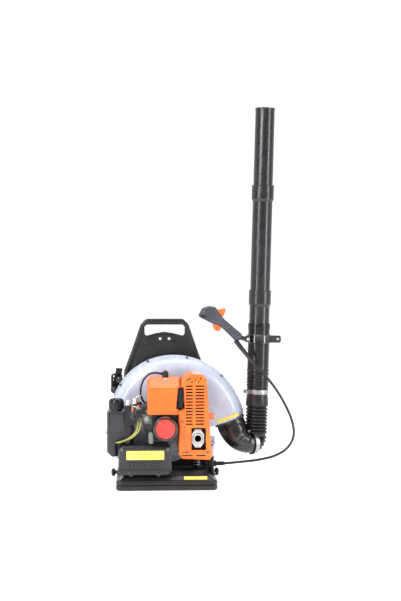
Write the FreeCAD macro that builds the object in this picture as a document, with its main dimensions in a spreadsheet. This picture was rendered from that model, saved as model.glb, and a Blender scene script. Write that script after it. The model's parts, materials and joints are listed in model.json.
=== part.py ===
import FreeCAD, Part
import math
import os
import re

import Sketcher
from FreeCAD import Placement, Rotation, Vector

# Backpack leaf blower, in millimetres. +Z is up, the wearer's back is on the +Y side and
# the engine's starter side faces -Y. The origin is the centre of the base's underside.

doc = FreeCAD.newDocument("backpack_leaf_blower")

# ---------------------------------------------------------------------------
# Driving dimensions
# ---------------------------------------------------------------------------
SIZES = {
    # back frame: a flat base with an upright plate behind it
    "base_width": 297, "base_depth": 300, "base_height": 30, "base_wall": 4,
    "tray_half": 134, "tray_front": 138, "tray_back": 26, "tray_tall": 12,
    "frame_front": 128, "frame_thick": 16, "frame_top": 492, "frame_recess": 5,
    "slot_half": 62, "slot_low": 437, "slot_high": 473, "slot_hump": 451,
    "strap_hole_radius": 4, "strap_hole_offset": 14, "strap_hole_height": 429,
    "vent_wide": 12, "vent_low": 326, "vent_high": 380,
    # springs between base and engine
    "spring_mean": 9.4, "spring_wire": 3, "spring_tall": 37, "spring_pitch": 7.4,
    "spring_side": 136, "spring_front": -2, "rear_spring_side": 98, "rear_spring_back": 84,
    "seat_radius": 11.5, "seat_thick": 3, "arm_thick": 4, "right_arm": 117, "left_arm": 79,
    "foot_low": 74,
    # crank axis, which the fan, the flywheel and the starter share
    "crank_x": -4, "crank_z": 180, "shaft_radius": 7.5, "shaft_front": -118, "shaft_rear": 62,
    "run_gap": 0.03, "gap": 0.3,
    # spiral fan casing
    "seam": 60, "case_front": 15, "case_rear": 105, "case_wall": 3, "flange_thick": 3,
    "spiral_radius": 128, "spiral_growth": 0.00251, "spiral_start": -75, "spiral_end": 262,
    "outlet_outer_x": 241, "outlet_outer_z": 202, "outlet_inner_x": 153, "outlet_inner_z": 167,
    "intake_radius": 62,
    "fan_radius": 92, "fan_front": 26, "fan_rear": 86, "fan_plate": 3, "fan_hub": 16,
    # crankcase and crank train
    "chamber_radius": 36, "crankcase_wall": 8, "crankcase_front_y": -70, "crankcase_split": -40,
    "crankcase_back_y": -10, "bearing_radius": 17.5, "bearing_width": 11, "throw": 18,
    "web_radius": 33, "web_thick": 6, "rod_thick": 7.4, "rod_length": 60,
    "skirt_radius": 64, "flywheel_radius": 56,
    # cylinder and piston
    "bore_radius": 24, "piston_radius": 23.9, "piston_tall": 38, "deck": 222, "head": 300,
    "fin_left": -42, "fin_right": 30, "fin_front": -72, "fin_back": -13, "fin_thick": 2.4,
    "fin_pitch": 8, "fin_low": 236,
    "plug_x": -2, "plug_y": -58,
    # intake side
    "carb_left": -105, "carb_right": -62, "carb_front": -84, "carb_back": -40, "carb_low": 208,
    "carb_high": 248, "duct_x": -115.5, "duct_y": -99, "duct_radius": 8.5, "duct_wall": 1.5,
    "primer_x": -57, "primer_z": 205, "primer_y": -98, "primer_radius": 10,
    "choke_x": -66, "choke_z": 236, "choke_y": -114,
    # air cleaner
    "cleaner_left": -142, "cleaner_right": 14, "cleaner_low": 44, "cleaner_high": 130,
    "cleaner_front": -150, "cleaner_split": -112, "cleaner_back": -62, "cleaner_wall": 2.5,
    # fuel tank
    "tank_left": -176, "tank_right": -95, "tank_low": 90, "tank_high": 226,
    "tank_front": -84, "tank_step": -60, "shelf": 133,
    "tank_back": 8, "cap_x": -148, "cap_y": -56, "cap_radius": 23,
    "cap_low": 229, "cap_high": 262, "neck_radius": 17,
    # muffler and its cover
    "muffler_left": 58, "muffler_right": 116, "muffler_front": -108, "muffler_back": -30,
    "muffler_low": 106, "muffler_high": 304, "exhaust_x": 92, "exhaust_z": 148,
    "exhaust_radius": 10, "exhaust_plate_front": -112,
    "cover_front": -130, "cover_back": -16, "cover_wall": 2.5,
    "louvre_tall": 4.2, "louvre_pitch": 9.3, "louvre_low": 190,
    # cylinder cover
    "hood_left": -57, "hood_right": 41, "hood_front": -120, "hood_back": -14, "hood_low": 219,
    "hood_high": 325, "hood_shoulder": 297,
    # recoil starter
    "starter_radius": 36, "starter_front": -150, "starter_back": -74, "starter_wall": 3,
    "badge_radius": 28.5, "reel_radius": 31, "reel_groove": 25, "rope_radius": 2,
    "reel_y": -132, "reel_thick": 14, "post_radius": 6, "pull_left": -54, "pull_right": -39,
    "pull_low": 136, "pull_high": 170,
    # discharge elbow, whose mouth looks sideways and a little back
    "mouth_x": 260, "mouth_y": 48, "mouth_z": 112, "mouth_turn": 25.5, "mouth_radius": 30,
    "elbow_wall": 2.5,
    # blower tube, upright, leaning a little to the side
    "tube_x": 279.5, "tube_y": 57.3, "tube_z": 112, "tube_lean": 1.55,
    "bellows_radius": 31.5, "bellows_wall": 1.5, "ring_tube": 3.2, "ring_pitch": 12,
    "cuff_low": 112, "cuff_high": 166, "cuff_radius": 35.2, "cuff_top_radius": 32.8,
    "pipe_low": 138, "pipe_radius": 30.8, "swivel_radius": 33, "swivel_low": 168,
    "swivel_high": 368, "joint_one": 448, "joint_two": 770, "tube_top": 1028,
    "second_radius": 30.3, "third_radius": 29.8, "pipe_wall": 2, "collar_radius": 34,
    "collar_tall": 42, "collar_depth": 30,
    "band_low": 151, "band_wide": 13, "band_thick": 1.2,
    "handle_low": 308, "handle_wide": 26, "ear_reach": 60, "ear_hole": 3, "ear_hole_x": 51,
    # hand grip, held off the tube's side
    "grip_middle": 20, "grip_half": 17, "grip_wall": 3, "trigger_x": 150, "trigger_z": 493,
    "lever_x": 161, "lever_z": 505, "pin_radius": 2, "lever_half": 6,
    # throttle cable and its gland on the base
    "cable_radius": 4, "gland_x": 165, "gland_y": -34, "gland_z": 62, "gland_radius": 6.5,
    # harness
    "pad_half": 108, "pad_low": 120, "pad_high": 400, "pad_thick": 24,
    "strap_inner": 42, "strap_outer": 98, 
}

sheet = doc.addObject("Spreadsheet::Sheet", "Dims")
for row, (alias, size) in enumerate(SIZES.items(), start=1):
    sheet.set(f"A{row}", alias)
    sheet.set(f"B{row}", str(size))
    sheet.setAlias(f"B{row}", alias)
doc.recompute()


# ---------------------------------------------------------------------------
# Helpers: expressions are written with the sheet's aliases, such as "base_width / 2"
# ---------------------------------------------------------------------------
def full(text):
    """The expression with the sheet's name before each alias."""
    def named(match):
        word = match[0]
        return "Dims." + word if word in SIZES else word
    return re.sub(r"[a-z_][a-z_0-9]*", named, str(text))


def number(text):
    """The value of an expression of the sheet's aliases."""
    return float(sheet.evalExpression(full(text)))


def bind(target, prop, text):
    target.setExpression(prop, full(text))


AXES = {"x": Vector(1, 0, 0), "y": Vector(0, 1, 0), "z": Vector(0, 0, 1)}
AXES.update({"-" + name: axis * -1 for name, axis in list(AXES.items())})
nodes = []


def place(target, at, turn=None):
    target.Placement = Placement(Vector(), turn or Rotation())
    for axis, text in zip("xyz", at):
        bind(target, "Placement.Base." + axis, text)


def toward(direction):
    """The rotation that takes +Z to a named axis or a vector."""
    axis = AXES[direction] if isinstance(direction, str) else direction
    return Rotation(Vector(0, 0, 1), axis)


def node(target, label):
    """Name a finished sub-part: its label is its file's name."""
    target.Label = label
    nodes.append(target)
    return target


def made(kind, at, turn=None, **sizes):
    target = doc.addObject("Part::" + kind, kind)
    place(target, at, turn)
    for prop, text in sizes.items():
        bind(target, prop, text)
    return target


def block(low, high):
    """A box from its low corner to its high corner."""
    size = [f"({b}) - ({a})" for a, b in zip(low, high)]
    return made("Box", low, Length=size[0], Width=size[1], Height=size[2])


def rod(at, radius, length, along="z"):
    return made("Cylinder", at, toward(along), Radius=radius, Height=length)


def cone(at, radius, end_radius, length, along="z"):
    return made("Cone", at, toward(along), Radius1=radius, Radius2=end_radius, Height=length)


def ring(at, radius, tube, along="z"):
    return made("Torus", at, toward(along), Radius1=radius, Radius2=tube)


def ball(at, radius):
    return made("Sphere", at, Radius=radius)


def fuse(*parts):
    if len(parts) == 1:
        return parts[0]
    target = doc.addObject("Part::MultiFuse", "Fuse")
    target.Shapes = list(parts)
    target.Refine = True
    return target


def cut(base, *tools):
    target = doc.addObject("Part::Cut", "Cut")
    target.Base = base
    target.Tool = fuse(*tools)
    target.Refine = True
    return target


def common(base, tool):
    target = doc.addObject("Part::Common", "Common")
    target.Base = base
    target.Tool = tool
    return target


def group(*parts):
    """Separate solids kept together in one sub-part."""
    target = doc.addObject("Part::Compound", "Group")
    target.Links = list(parts)
    return target


def tube(at, radius, inner, length, along="z"):
    axis = AXES[along] if isinstance(along, str) else along
    start = [f"({text}) - {axis[i]}" for i, text in enumerate(at)]
    return cut(rod(at, radius, length, along), rod(start, inner, f"{length} + 2", along))


def solid(shape):
    """A Part::Feature for a shape that no primitive or sketch gives."""
    target = doc.addObject("Part::Feature", "Shape")
    target.Shape = shape
    return target


def straight(edge, direction):
    """Whether an edge is a straight one along a named axis."""
    if not isinstance(edge.Curve, Part.Line):
        return False
    return abs(edge.Curve.Direction.dot(AXES[direction])) > 0.999


def level(edge, direction, text):
    """Whether an edge lies in the plane at a value on a named axis."""
    bounds = edge.BoundBox
    low, high = {"x": (bounds.XMin, bounds.XMax), "y": (bounds.YMin, bounds.YMax),
                 "z": (bounds.ZMin, bounds.ZMax)}[direction]
    plane = number(text)
    return abs(low - plane) < 0.01 and abs(high - plane) < 0.01


def rounded(base, radius, pick):
    """A fillet on the edges that pick chooses."""
    doc.recompute()
    size = number(radius)
    chosen = [i for i, edge in enumerate(base.Shape.Edges, start=1) if pick(edge)]
    target = doc.addObject("Part::Fillet", "Fillet")
    target.Base = base
    target.Edges = [(i, size, size) for i in chosen]
    return target


# PartDesign: a body, closed sketches on its origin planes, and features on them
def new_body(at=("0", "0", "0")):
    body = doc.addObject("PartDesign::Body", "Body")
    place(body, at)
    return body


def origin(body, role):
    return next(item for item in body.Origin.OriginFeatures if item.Role == role)


def new_sketch(body, plane, offset="0"):
    """A sketch on an origin plane, moved along the plane's normal by offset."""
    sketch = body.newObject("Sketcher::SketchObject", "Sketch")
    sketch.AttachmentSupport = [(origin(body, plane), "")]
    sketch.MapMode = "FlatFace"
    bind(sketch, "AttachmentOffset.Base.z", offset)
    return sketch


def fix(sketch, geometry, point, at):
    """Tie a sketch point to its two coordinates."""
    for kind, text in zip(("DistanceX", "DistanceY"), at):
        row = sketch.addConstraint(
            Sketcher.Constraint(kind, -1, 1, geometry, point, number(text)))
        bind(sketch, f"Constraints[{row}]", text)


def outline(sketch, points):
    """A closed polygon through points, each a pair of expressions."""
    spots = [Vector(number(u), number(v), 0) for u, v in points]
    first = sketch.GeometryCount
    count = len(spots)
    for i in range(count):
        sketch.addGeometry(Part.LineSegment(spots[i], spots[(i + 1) % count]), False)
    for i in range(count):
        following = first + (i + 1) % count
        sketch.addConstraint(Sketcher.Constraint("Coincident", first + i, 2, following, 1))
    for i, point in enumerate(points):
        fix(sketch, first + i, 1, point)
    return sketch


def rectangle(sketch, low, high):
    return outline(sketch, [low, (high[0], low[1]), high, (low[0], high[1])])


def circle(sketch, at, radius):
    centre = Vector(number(at[0]), number(at[1]), 0)
    row = sketch.addGeometry(Part.Circle(centre, Vector(0, 0, 1), number(radius)), False)
    fix(sketch, row, 3, at)
    size = sketch.addConstraint(Sketcher.Constraint("Radius", row, number(radius)))
    bind(sketch, f"Constraints[{size}]", radius)
    return sketch


def feature(body, kind, sketch, length, back=False):
    target = body.newObject("PartDesign::" + kind, kind)
    target.Profile = sketch
    target.Reversed = back
    bind(target, "Length", length)
    return target


def pad(body, sketch, length, back=False):
    return feature(body, "Pad", sketch, length, back)


def pocket(body, sketch, length, back=False):
    """A pocket that must take material away."""
    doc.recompute()
    before = body.Shape.Volume
    target = feature(body, "Pocket", sketch, length, back)
    doc.recompute()
    if body.Shape.Volume > before - 1:
        raise ValueError(f"{target.Name} of {body.Label} cuts nothing")
    return target


def soften(body, radius, pick):
    """A PartDesign fillet on the chosen edges of the body as it stands."""
    doc.recompute()
    tip = body.Tip
    names = [f"Edge{i}" for i, edge in enumerate(tip.Shape.Edges, start=1) if pick(edge)]
    target = body.newObject("PartDesign::Fillet", "Fillet")
    target.Base = (tip, names)
    bind(target, "Radius", radius)
    return target


def repeat_line(body, features, axis, step, count, back=False):
    target = body.newObject("PartDesign::LinearPattern", "LinearPattern")
    target.Originals = features
    target.Direction = (origin(body, axis), [""])
    target.Reversed = back
    target.Occurrences = count
    bind(target, "Length", f"({step}) * {count - 1}")
    body.Tip = target
    return target


def repeat_round(body, features, axis, count):
    target = body.newObject("PartDesign::PolarPattern", "PolarPattern")
    target.Originals = features
    target.Axis = (origin(body, axis), [""])
    target.Angle = 360
    target.Occurrences = count
    body.Tip = target
    return target


def cord_shape(label, points, radius):
    """A round cord along straight runs joined by tangent arcs; prints the arcs' radii."""
    spots = [Vector(*(number(text) for text in point)) for point in points]
    edges, radii, start = [], [], spots[0]
    for before, corner, after in zip(spots, spots[1:], spots[2:]):
        arriving = (corner - before).normalize()
        leaving = (after - corner).normalize()
        half = arriving.getAngle(leaving) / 2
        shorter = min((corner - before).Length, (after - corner).Length)
        reach = 0.45 * shorter
        bend = reach / math.tan(half)
        radii.append(round(bend, 1))
        first = corner - arriving * reach
        last = corner + leaving * reach
        bow = bend * (1 / math.cos(half) - 1)
        middle = corner + (leaving - arriving).normalize() * bow
        edges.append(Part.LineSegment(start, first).toShape())
        edges.append(Part.Arc(first, middle, last).toShape())
        start = last
    edges.append(Part.LineSegment(start, spots[-1]).toShape())
    path = Part.Wire(edges)
    section = Part.Wire([Part.makeCircle(radius, spots[0], spots[1] - spots[0])])
    swept = path.makePipeShell([section], True, False)
    ideal = math.pi * radius ** 2 * path.Length
    print(f"{label}: length {path.Length:.1f}, volume {swept.Volume / ideal:.4f} of ideal, "
          f"radii {radii}")
    return swept


# ---------------------------------------------------------------------------
# Back frame and harness
# ---------------------------------------------------------------------------
def back_frame():
    """The blow-moulded base and the upright plate with its grab handle, in one piece."""
    body = new_body()
    for low, thick, inset in (("0", "17", "0"), ("17", "3", "3"), ("20", "base_height - 20", "0")):
        wide = f"base_width / 2 - {inset}"
        deep = f"base_depth / 2 - {inset}"
        layer = rectangle(new_sketch(body, "XY_Plane", low),
                          (f"-({wide})", f"-({deep})"), (wide, deep))
        pad(body, layer, thick)
    soften(body, "16", lambda edge: straight(edge, "z"))
    soften(body, "4", lambda edge: level(edge, "z", "base_height"))
    for side in (-1, 1):
        for end in (-1, 1):
            near = ("6", "6")
            far = ("base_width / 2 - 20", "base_depth / 2 - 20")
            low = [f"{s} * ({t})" for s, t in zip((side, end), near)]
            high = [f"{s} * ({t})" for s, t in zip((side, end), far)]
            hollow = rectangle(new_sketch(body, "XY_Plane"), low, high)
            pocket(body, hollow, "base_height - base_wall", back=True)
    tray = rectangle(new_sketch(body, "XY_Plane", "base_height"),
                     ("-tray_half", "-tray_front"), ("tray_half", "-tray_back"))
    pad(body, tray, "tray_tall")
    for side in (-1, 1):
        hollow = rectangle(new_sketch(body, "XY_Plane"), (f"{side} * 6", "-(base_depth / 2 - 20)"),
                           (f"{side} * (tray_half - 8)", "-(tray_back + 6)"))
        pocket(body, hollow, "base_height + tray_tall - base_wall", back=True)
    right = [("base_width / 2 - 12", "20"), ("base_width / 2 - 12", "160"), ("126", "331"),
             ("103", "393"), ("75", "474"), ("58", "frame_top")]
    left = [(f"-({u})", v) for u, v in reversed(right)]
    plate = outline(new_sketch(body, "XZ_Plane", "-frame_front"), right + left)
    pad(body, plate, "frame_thick", back=True)
    soften(body, "16", lambda edge: straight(edge, "y") and edge.BoundBox.ZMin > 400)
    soften(body, "4.5", lambda edge: edge.BoundBox.ZMin > 100
           and (level(edge, "y", "frame_front") or level(edge, "y", "frame_front + frame_thick")))
    inner = [("base_width / 2 - 25", "base_height + 6"), ("base_width / 2 - 25", "160"),
             ("113", "328"), ("91", "389"), ("77", "428")]
    recess = inner + [(f"-({u})", v) for u, v in reversed(inner)]
    front = outline(new_sketch(body, "XZ_Plane", "-frame_front"), recess)
    pocket(body, front, "frame_recess")
    rear = outline(new_sketch(body, "XZ_Plane", "-(frame_front + frame_thick)"), recess)
    pocket(body, rear, "frame_recess", back=True)
    grip = [("slot_half - 5", "slot_high"), ("slot_half", "slot_high - 8"),
            ("slot_half", "slot_low"), ("30", "slot_low + 9")]
    handle = grip + [("0", "slot_hump")] + [(f"-({u})", v) for u, v in reversed(grip)]
    slot = outline(new_sketch(body, "XZ_Plane", "-frame_front"), handle)
    pocket(body, slot, "frame_thick")
    holes = new_sketch(body, "XZ_Plane", "-frame_front")
    for side in (-1, 1):
        circle(holes, (f"{side} * strap_hole_offset", "strap_hole_height"), "strap_hole_radius")
    pocket(body, holes, "frame_thick")
    vents = new_sketch(body, "XZ_Plane", "-frame_front")
    for middle in (-84, -46, 46, 84):
        rectangle(vents, (f"{middle} - vent_wide / 2", "vent_low"),
                  (f"{middle} + vent_wide / 2", f"vent_high - {abs(middle)} / 3"))
    pocket(body, vents, "frame_thick")
    for side in (-1, 1):
        post = circle(new_sketch(body, "XY_Plane", "base_height - 1"),
                      (f"{side} * spring_side", "spring_front"), "seat_radius - 1")
        tall = "right_arm" if side > 0 else "left_arm"
        pad(body, post, f"{tall} - spring_tall - 2 * seat_thick - base_height + 1")
    return node(body, "back_frame")


def springs():
    """Four coil springs that carry the engine, between cups on the base and the arms."""
    coils = []
    cups = []
    for x, y, top in spring_places():
        foot = f"({top}) - spring_tall - seat_thick"
        helix = doc.addObject("Part::Helix", "Helix")
        bind(helix, "Pitch", "spring_pitch")
        bind(helix, "Height", "spring_tall - spring_wire - 1")
        bind(helix, "Radius", "spring_mean")
        place(helix, (x, y, f"{foot} + spring_wire / 2 + 0.5"))
        wire = doc.addObject("Part::Circle", "Circle")
        place(wire, (f"({x}) + spring_mean", y, f"{foot} + spring_wire / 2 + 0.5"),
              toward("y"))
        bind(wire, "Radius", "spring_wire / 2")
        coil = doc.addObject("Part::Sweep", "Sweep")
        coil.Sections = [wire]
        coil.Spine = (helix, [])
        coil.Solid = True
        coil.Frenet = True
        coils.append(coil)
        for low, boss in ((f"{foot} - seat_thick", foot), (f"({top}) - seat_thick", f"({top}) - 8")):
            cups.append(fuse(rod((x, y, low), "seat_radius", "seat_thick"),
                             rod((x, y, boss), "spring_mean - spring_wire", "5")))
    node(group(*coils), "vibration_springs")
    node(group(*cups), "spring_seats")


def spring_places():
    """Each spring's axis and the underside of what it carries."""
    return (("spring_side", "spring_front", "right_arm"),
            ("-spring_side", "spring_front", "left_arm"),
            ("rear_spring_side", "rear_spring_back", "foot_low"),
            ("-rear_spring_side", "rear_spring_back", "foot_low"))


def harness():
    """The back pad, two padded shoulder straps, their webbing and its buckles."""
    behind = "frame_front + frame_thick + 0.3"
    pad_body = new_body()
    face = [("pad_half", "pad_low"), ("pad_half", "300"), ("80", "pad_high")]
    face = face + [(f"-({u})", v) for u, v in reversed(face)]
    cushion = outline(new_sketch(pad_body, "XZ_Plane", f"-({behind})"), face)
    pad(pad_body, cushion, "pad_thick", back=True)
    soften(pad_body, "9", lambda edge: level(edge, "y", f"{behind} + pad_thick"))
    node(pad_body, "back_pad")
    side_view = [("0", "418"), ("20", "422"), ("44", "404"), ("60", "360"), ("64", "300"),
                 ("56", "230"), ("40", "176")]
    for side, name in ((-1, "left"), (1, "right")):
        strap = new_body()
        outer = [(f"{behind} + {u}", v) for u, v in side_view]
        inner = [(f"{behind} + {float(u) - 10:g}" if float(u) > 12 else f"{behind} + {u}",
                  f"{float(v) - 9:g}") for u, v in side_view]
        inner = inner[::-1]
        profile = outline(new_sketch(strap, "YZ_Plane", f"{side} * strap_outer"
                                     if side < 0 else "strap_inner"), outer + inner)
        pad(strap, profile, "strap_outer - strap_inner")
        band = webbing((70 * side, 179.0, 169.0), (134 * side, 150.0, 52.0), 25.0, 2.0)
        node(group(strap, band), f"shoulder_strap_{name}")
    buckles = [block((f"{side} * (base_width / 2 + 9.3) - 9", "60", "8"),
                     (f"{side} * (base_width / 2 + 9.3) + 9", "84", "34")) for side in (-1, 1)]
    buckles.append(block(("-160", "150", "262"), ("-132", "158", "318")))
    node(group(*buckles), "strap_buckles")


def webbing(start, finish, wide, thick):
    """A flat band between two points, its width along X."""
    low, high = Vector(*start), Vector(*finish)
    run = high - low
    across = Vector(1, 0, 0) * wide / 2
    lift = run.cross(Vector(1, 0, 0)).normalize() * thick
    corners = [low - across, low + across, high + across, high - across]
    face = Part.Face(Part.makePolygon(corners + corners[:1]))
    return solid(face.extrude(lift))


# ---------------------------------------------------------------------------
# Spiral fan casing, fan and discharge elbow
# ---------------------------------------------------------------------------
def spiral_point(turn, inset, depth):
    """A point of the casing's wall, turn degrees clockwise from straight down."""
    reach = number("spiral_radius") * math.exp(number("spiral_growth") * max(turn, 0.0)) - inset
    angle = math.radians(270 - turn)
    return Vector(number("crank_x") + reach * math.cos(angle), depth,
                  number("crank_z") + reach * math.sin(angle))


def casing_wire(inset, depth, push=0.0):
    """The casing's closed outline at a depth: the spiral, then the outlet's straight mouth."""
    outer = Vector(number("outlet_outer_x"), depth, number("outlet_outer_z"))
    inner = Vector(number("outlet_inner_x"), depth, number("outlet_inner_z"))
    along = (outer - inner).normalize()
    flow = Vector(along.z, 0, -along.x)
    outer = outer - along * inset + flow * push
    inner = inner + along * inset + flow * push
    start, end = number("spiral_start"), number("spiral_end")
    steps = 24
    points = [spiral_point(start + (end - start) * i / steps, inset, depth)
              for i in range(steps + 1)]
    spiral = Part.BSplineCurve()
    spiral.interpolate(points)
    lines = [Part.LineSegment(points[-1], outer), Part.LineSegment(outer, inner),
             Part.LineSegment(inner, points[0])]
    return Part.Wire([curve.toShape() for curve in [spiral] + lines])


def casing_half(direction):
    """One half's outer form, with the seam's flange, and its hollow. Direction is -1 or 1."""
    seam, wall = number("seam"), number("case_wall")
    far = number("case_front") if direction < 0 else number("case_rear")
    drop = abs(far - seam)
    gap = 0.15 * direction
    profile = ((7, 0.0), (9, 0.34), (18, 0.76), (40, 1.0))
    outer = Part.makeLoft([casing_wire(inset, seam + gap + direction * drop * part)
                           for inset, part in profile], True)
    inner = Part.makeLoft(
        [casing_wire(inset + wall, seam + direction * ((drop - wall) * part if part else -1), 8)
         for inset, part in profile], True)
    rim = Part.Face(casing_wire(0, seam + gap)).extrude(
        Vector(0, direction * number("flange_thick"), 0))
    return solid(outer.fuse(rim)), solid(inner)


def fan_casing():
    front_form, front_hollow = casing_half(-1)
    arms = []
    pads = [("spring_side - 14", "spring_side + 14", "right_arm"),
            ("-(spring_side + 14)", "-(spring_side - 14)", "left_arm")]
    for low, high, level_text in pads:
        arms.append(block((low, "spring_front - 12.5", level_text),
                          (high, "case_front + 6", f"{level_text} + arm_thick")))
    webs = [block(("96", "case_front - 4", "right_arm"),
                  ("spring_side + 14", "seam - 16", "right_arm + 20")),
            block(("-(spring_side + 14)", "case_front - 4", "left_arm"),
                  ("-104", "seam - 4", "left_arm + 30"))]
    fused = fuse(front_form, *arms, *webs)
    bore = rod(("crank_x", "case_front - 10", "crank_z"), "30", "30", "y")
    swept = rod(("crank_x", "case_front + case_wall", "crank_z"), "fan_radius + 6", "40", "y")
    node(cut(fused, front_hollow, bore, swept), "fan_case_front")
    rear_form, rear_hollow = casing_half(1)
    feet = [block((f"{side} * rear_spring_side - 16", "rear_spring_back - 16", "foot_low"),
                  (f"{side} * rear_spring_side + 16", "rear_spring_back + 16", "foot_low + 50"))
            for side in (-1, 1)]
    intake = rod(("crank_x", "case_rear - 10", "crank_z"), "intake_radius", "20", "y")
    inside = rod(("crank_x", "seam - 5", "crank_z"), "fan_radius + 6",
                 "case_rear - case_wall - seam + 5", "y")
    node(cut(fuse(rear_form, *feet), rear_hollow, intake, inside), "fan_case_rear")
    hoops = [tube(("crank_x", "case_rear + 0.3", "crank_z"), radius, f"{radius} - 4", "4", "y")
             for radius in ("intake_radius + 6", "intake_radius - 12", "intake_radius - 28",
                            "intake_radius - 44")]
    bars = []
    for i in range(4):
        bar = made("Box", ("crank_x", "case_rear + 0.3", "crank_z"),
                   Rotation(Vector(0, 1, 0), 45 * i), Length="4", Width="4",
                   Height="2 * intake_radius + 8")
        doc.recompute()
        middle = bar.Placement.Rotation.multVec(Vector(2, 0, number("intake_radius + 4")))
        for axis, text in zip("xz", (f"crank_x - {middle.x:.3f}", f"crank_z - {middle.z:.3f}")):
            bind(bar, "Placement.Base." + axis, text)
        bars.append(bar)
    node(fuse(*hoops, *bars), "intake_grille")


def fan():
    """Centrifugal fan: back plate, hub and swept blades with a shroud ring."""
    body = new_body(("crank_x", "0", "crank_z"))
    disc = circle(new_sketch(body, "XZ_Plane", "-fan_front"), ("0", "0"), "fan_radius")
    pad(body, disc, "fan_plate", back=True)
    hub = circle(new_sketch(body, "XZ_Plane", "-fan_front"), ("0", "0"), "fan_hub")
    pad(body, hub, "24", back=True)
    root, tip = "fan_radius * 0.45", "fan_radius * 0.93"
    blade = outline(new_sketch(body, "XZ_Plane", "-(fan_front + 1)"),
                    [(root, "-1.2"), (root, "1.2"), (tip, "-22"), (tip, "-25")])
    first = pad(body, blade, "fan_rear - fan_front - 1", back=True)
    repeat_round(body, [first], "Y_Axis", 10)
    bore = circle(new_sketch(body, "XZ_Plane", "-(fan_front - 2)"), ("0", "0"), "shaft_radius")
    pocket(body, bore, "40")
    node(body, "fan")


def mouth():
    """The elbow mouth's centre and the way the air leaves it."""
    centre = Vector(number("mouth_x"), number("mouth_y"), number("mouth_z"))
    turn = math.radians(number("mouth_turn"))
    return centre, Vector(math.cos(turn), math.sin(turn), 0)


def outlet():
    """The casing outlet's outer and inner corners at the seam, and the way the air leaves."""
    outer = Vector(number("outlet_outer_x"), number("seam"), number("outlet_outer_z"))
    inner = Vector(number("outlet_inner_x"), number("seam"), number("outlet_inner_z"))
    along = (outer - inner).normalize()
    return outer, inner, Vector(along.z, 0, -along.x)


def elbow_loft(shrink, run_in):
    """The duct from the casing's outlet round to the mouth, made of oval sections."""
    outer, inner, flow = outlet()
    start = (outer + inner) / 2 + flow * 0.4
    end, leaving = mouth()
    hull = [start, start + flow * 50, end - leaving * 42, end]
    half_wide, half_deep, round_off = 44, 41, 0.65
    narrow = number("mouth_radius")
    sections = []
    steps = 6
    for i in range(steps + 1):
        part = i / steps
        rest = 1 - part
        centre = (hull[0] * rest ** 3 + hull[1] * 3 * part * rest ** 2
                  + hull[2] * 3 * part ** 2 * rest + hull[3] * part ** 3)
        slope = ((hull[1] - hull[0]) * rest ** 2 + (hull[2] - hull[1]) * 2 * part * rest
                 + (hull[3] - hull[2]) * part ** 2).normalize()
        blend = min(1, part / round_off)
        wide = half_wide + (narrow - half_wide) * blend - shrink
        deep = half_deep + (narrow - half_deep) * blend - shrink
        side = (Vector(0, 1, 0) - slope * slope.y).normalize()
        across = side.cross(slope)
        oval = Part.Circle(centre, slope, wide)
        if wide > deep + 0.01:
            oval = Part.Ellipse(centre + across * wide, centre + side * deep, centre)
        sections.append(Part.Wire([oval.toShape()]))
    if run_in:
        sections.insert(0, sections[0].translated(flow * -run_in))
    return Part.makeLoft(sections, True)


def elbow():
    """The black elbow below the outlet, with its flange and the spigot for the bellows."""
    end, leaving = mouth()
    wall, radius = number("elbow_wall"), number("mouth_radius")
    hollow = elbow_loft(wall, 3).fuse(
        Part.makeCylinder(radius - wall, 40, end - leaving, leaving))
    duct = elbow_loft(0, 0).fuse(Part.makeCylinder(radius - 0.1, 20, end - leaving, leaving))
    outer, inner, flow = outlet()
    deep = Vector(0, 43, 0)
    rim = [inner - deep, inner + deep, outer + deep, outer - deep]
    rim = [corner + flow * 0.4 for corner in rim]
    plate = Part.Face(Part.makePolygon(rim + rim[:1])).extrude(flow * 4)
    path = Rotation(Vector(0, 1, 0), number("tube_lean")).multVec(Vector(0, 0, 1))
    foot = Vector(number("tube_x"), number("tube_y"), number("tube_z"))
    swing = []
    for angle in (0, 5, 10):
        room = Part.makeCylinder(number("bellows_radius + ring_tube + 0.8"), 110,
                                 foot + path * 30, path)
        room.rotate(end, Vector(-leaving.x, -leaving.y, 0), angle)
        swing.append(room)
    node(solid(duct.fuse(plate).cut([hollow, *swing]).removeSplitter()), "elbow_pipe")


# ---------------------------------------------------------------------------
# Blower tube: everything here is made upright, then leaned about the elbow's corner
# ---------------------------------------------------------------------------
def lean(target, label):
    """Put a tube piece, made round the Z axis, on the leaning tube axis."""
    turn = Rotation(Vector(0, 1, 0), number("tube_lean"))
    place(target, ("tube_x", "tube_y", "tube_z"), turn)
    return node(target, label)


def on_axis(low, radius, inner, high):
    """A hollow round length of tube from low to high."""
    return cut(rod(("0", "0", low), radius, f"({high}) - ({low})"),
               rod(("0", "0", f"({low}) - 1"), inner, f"({high}) - ({low}) + 2"))


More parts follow.
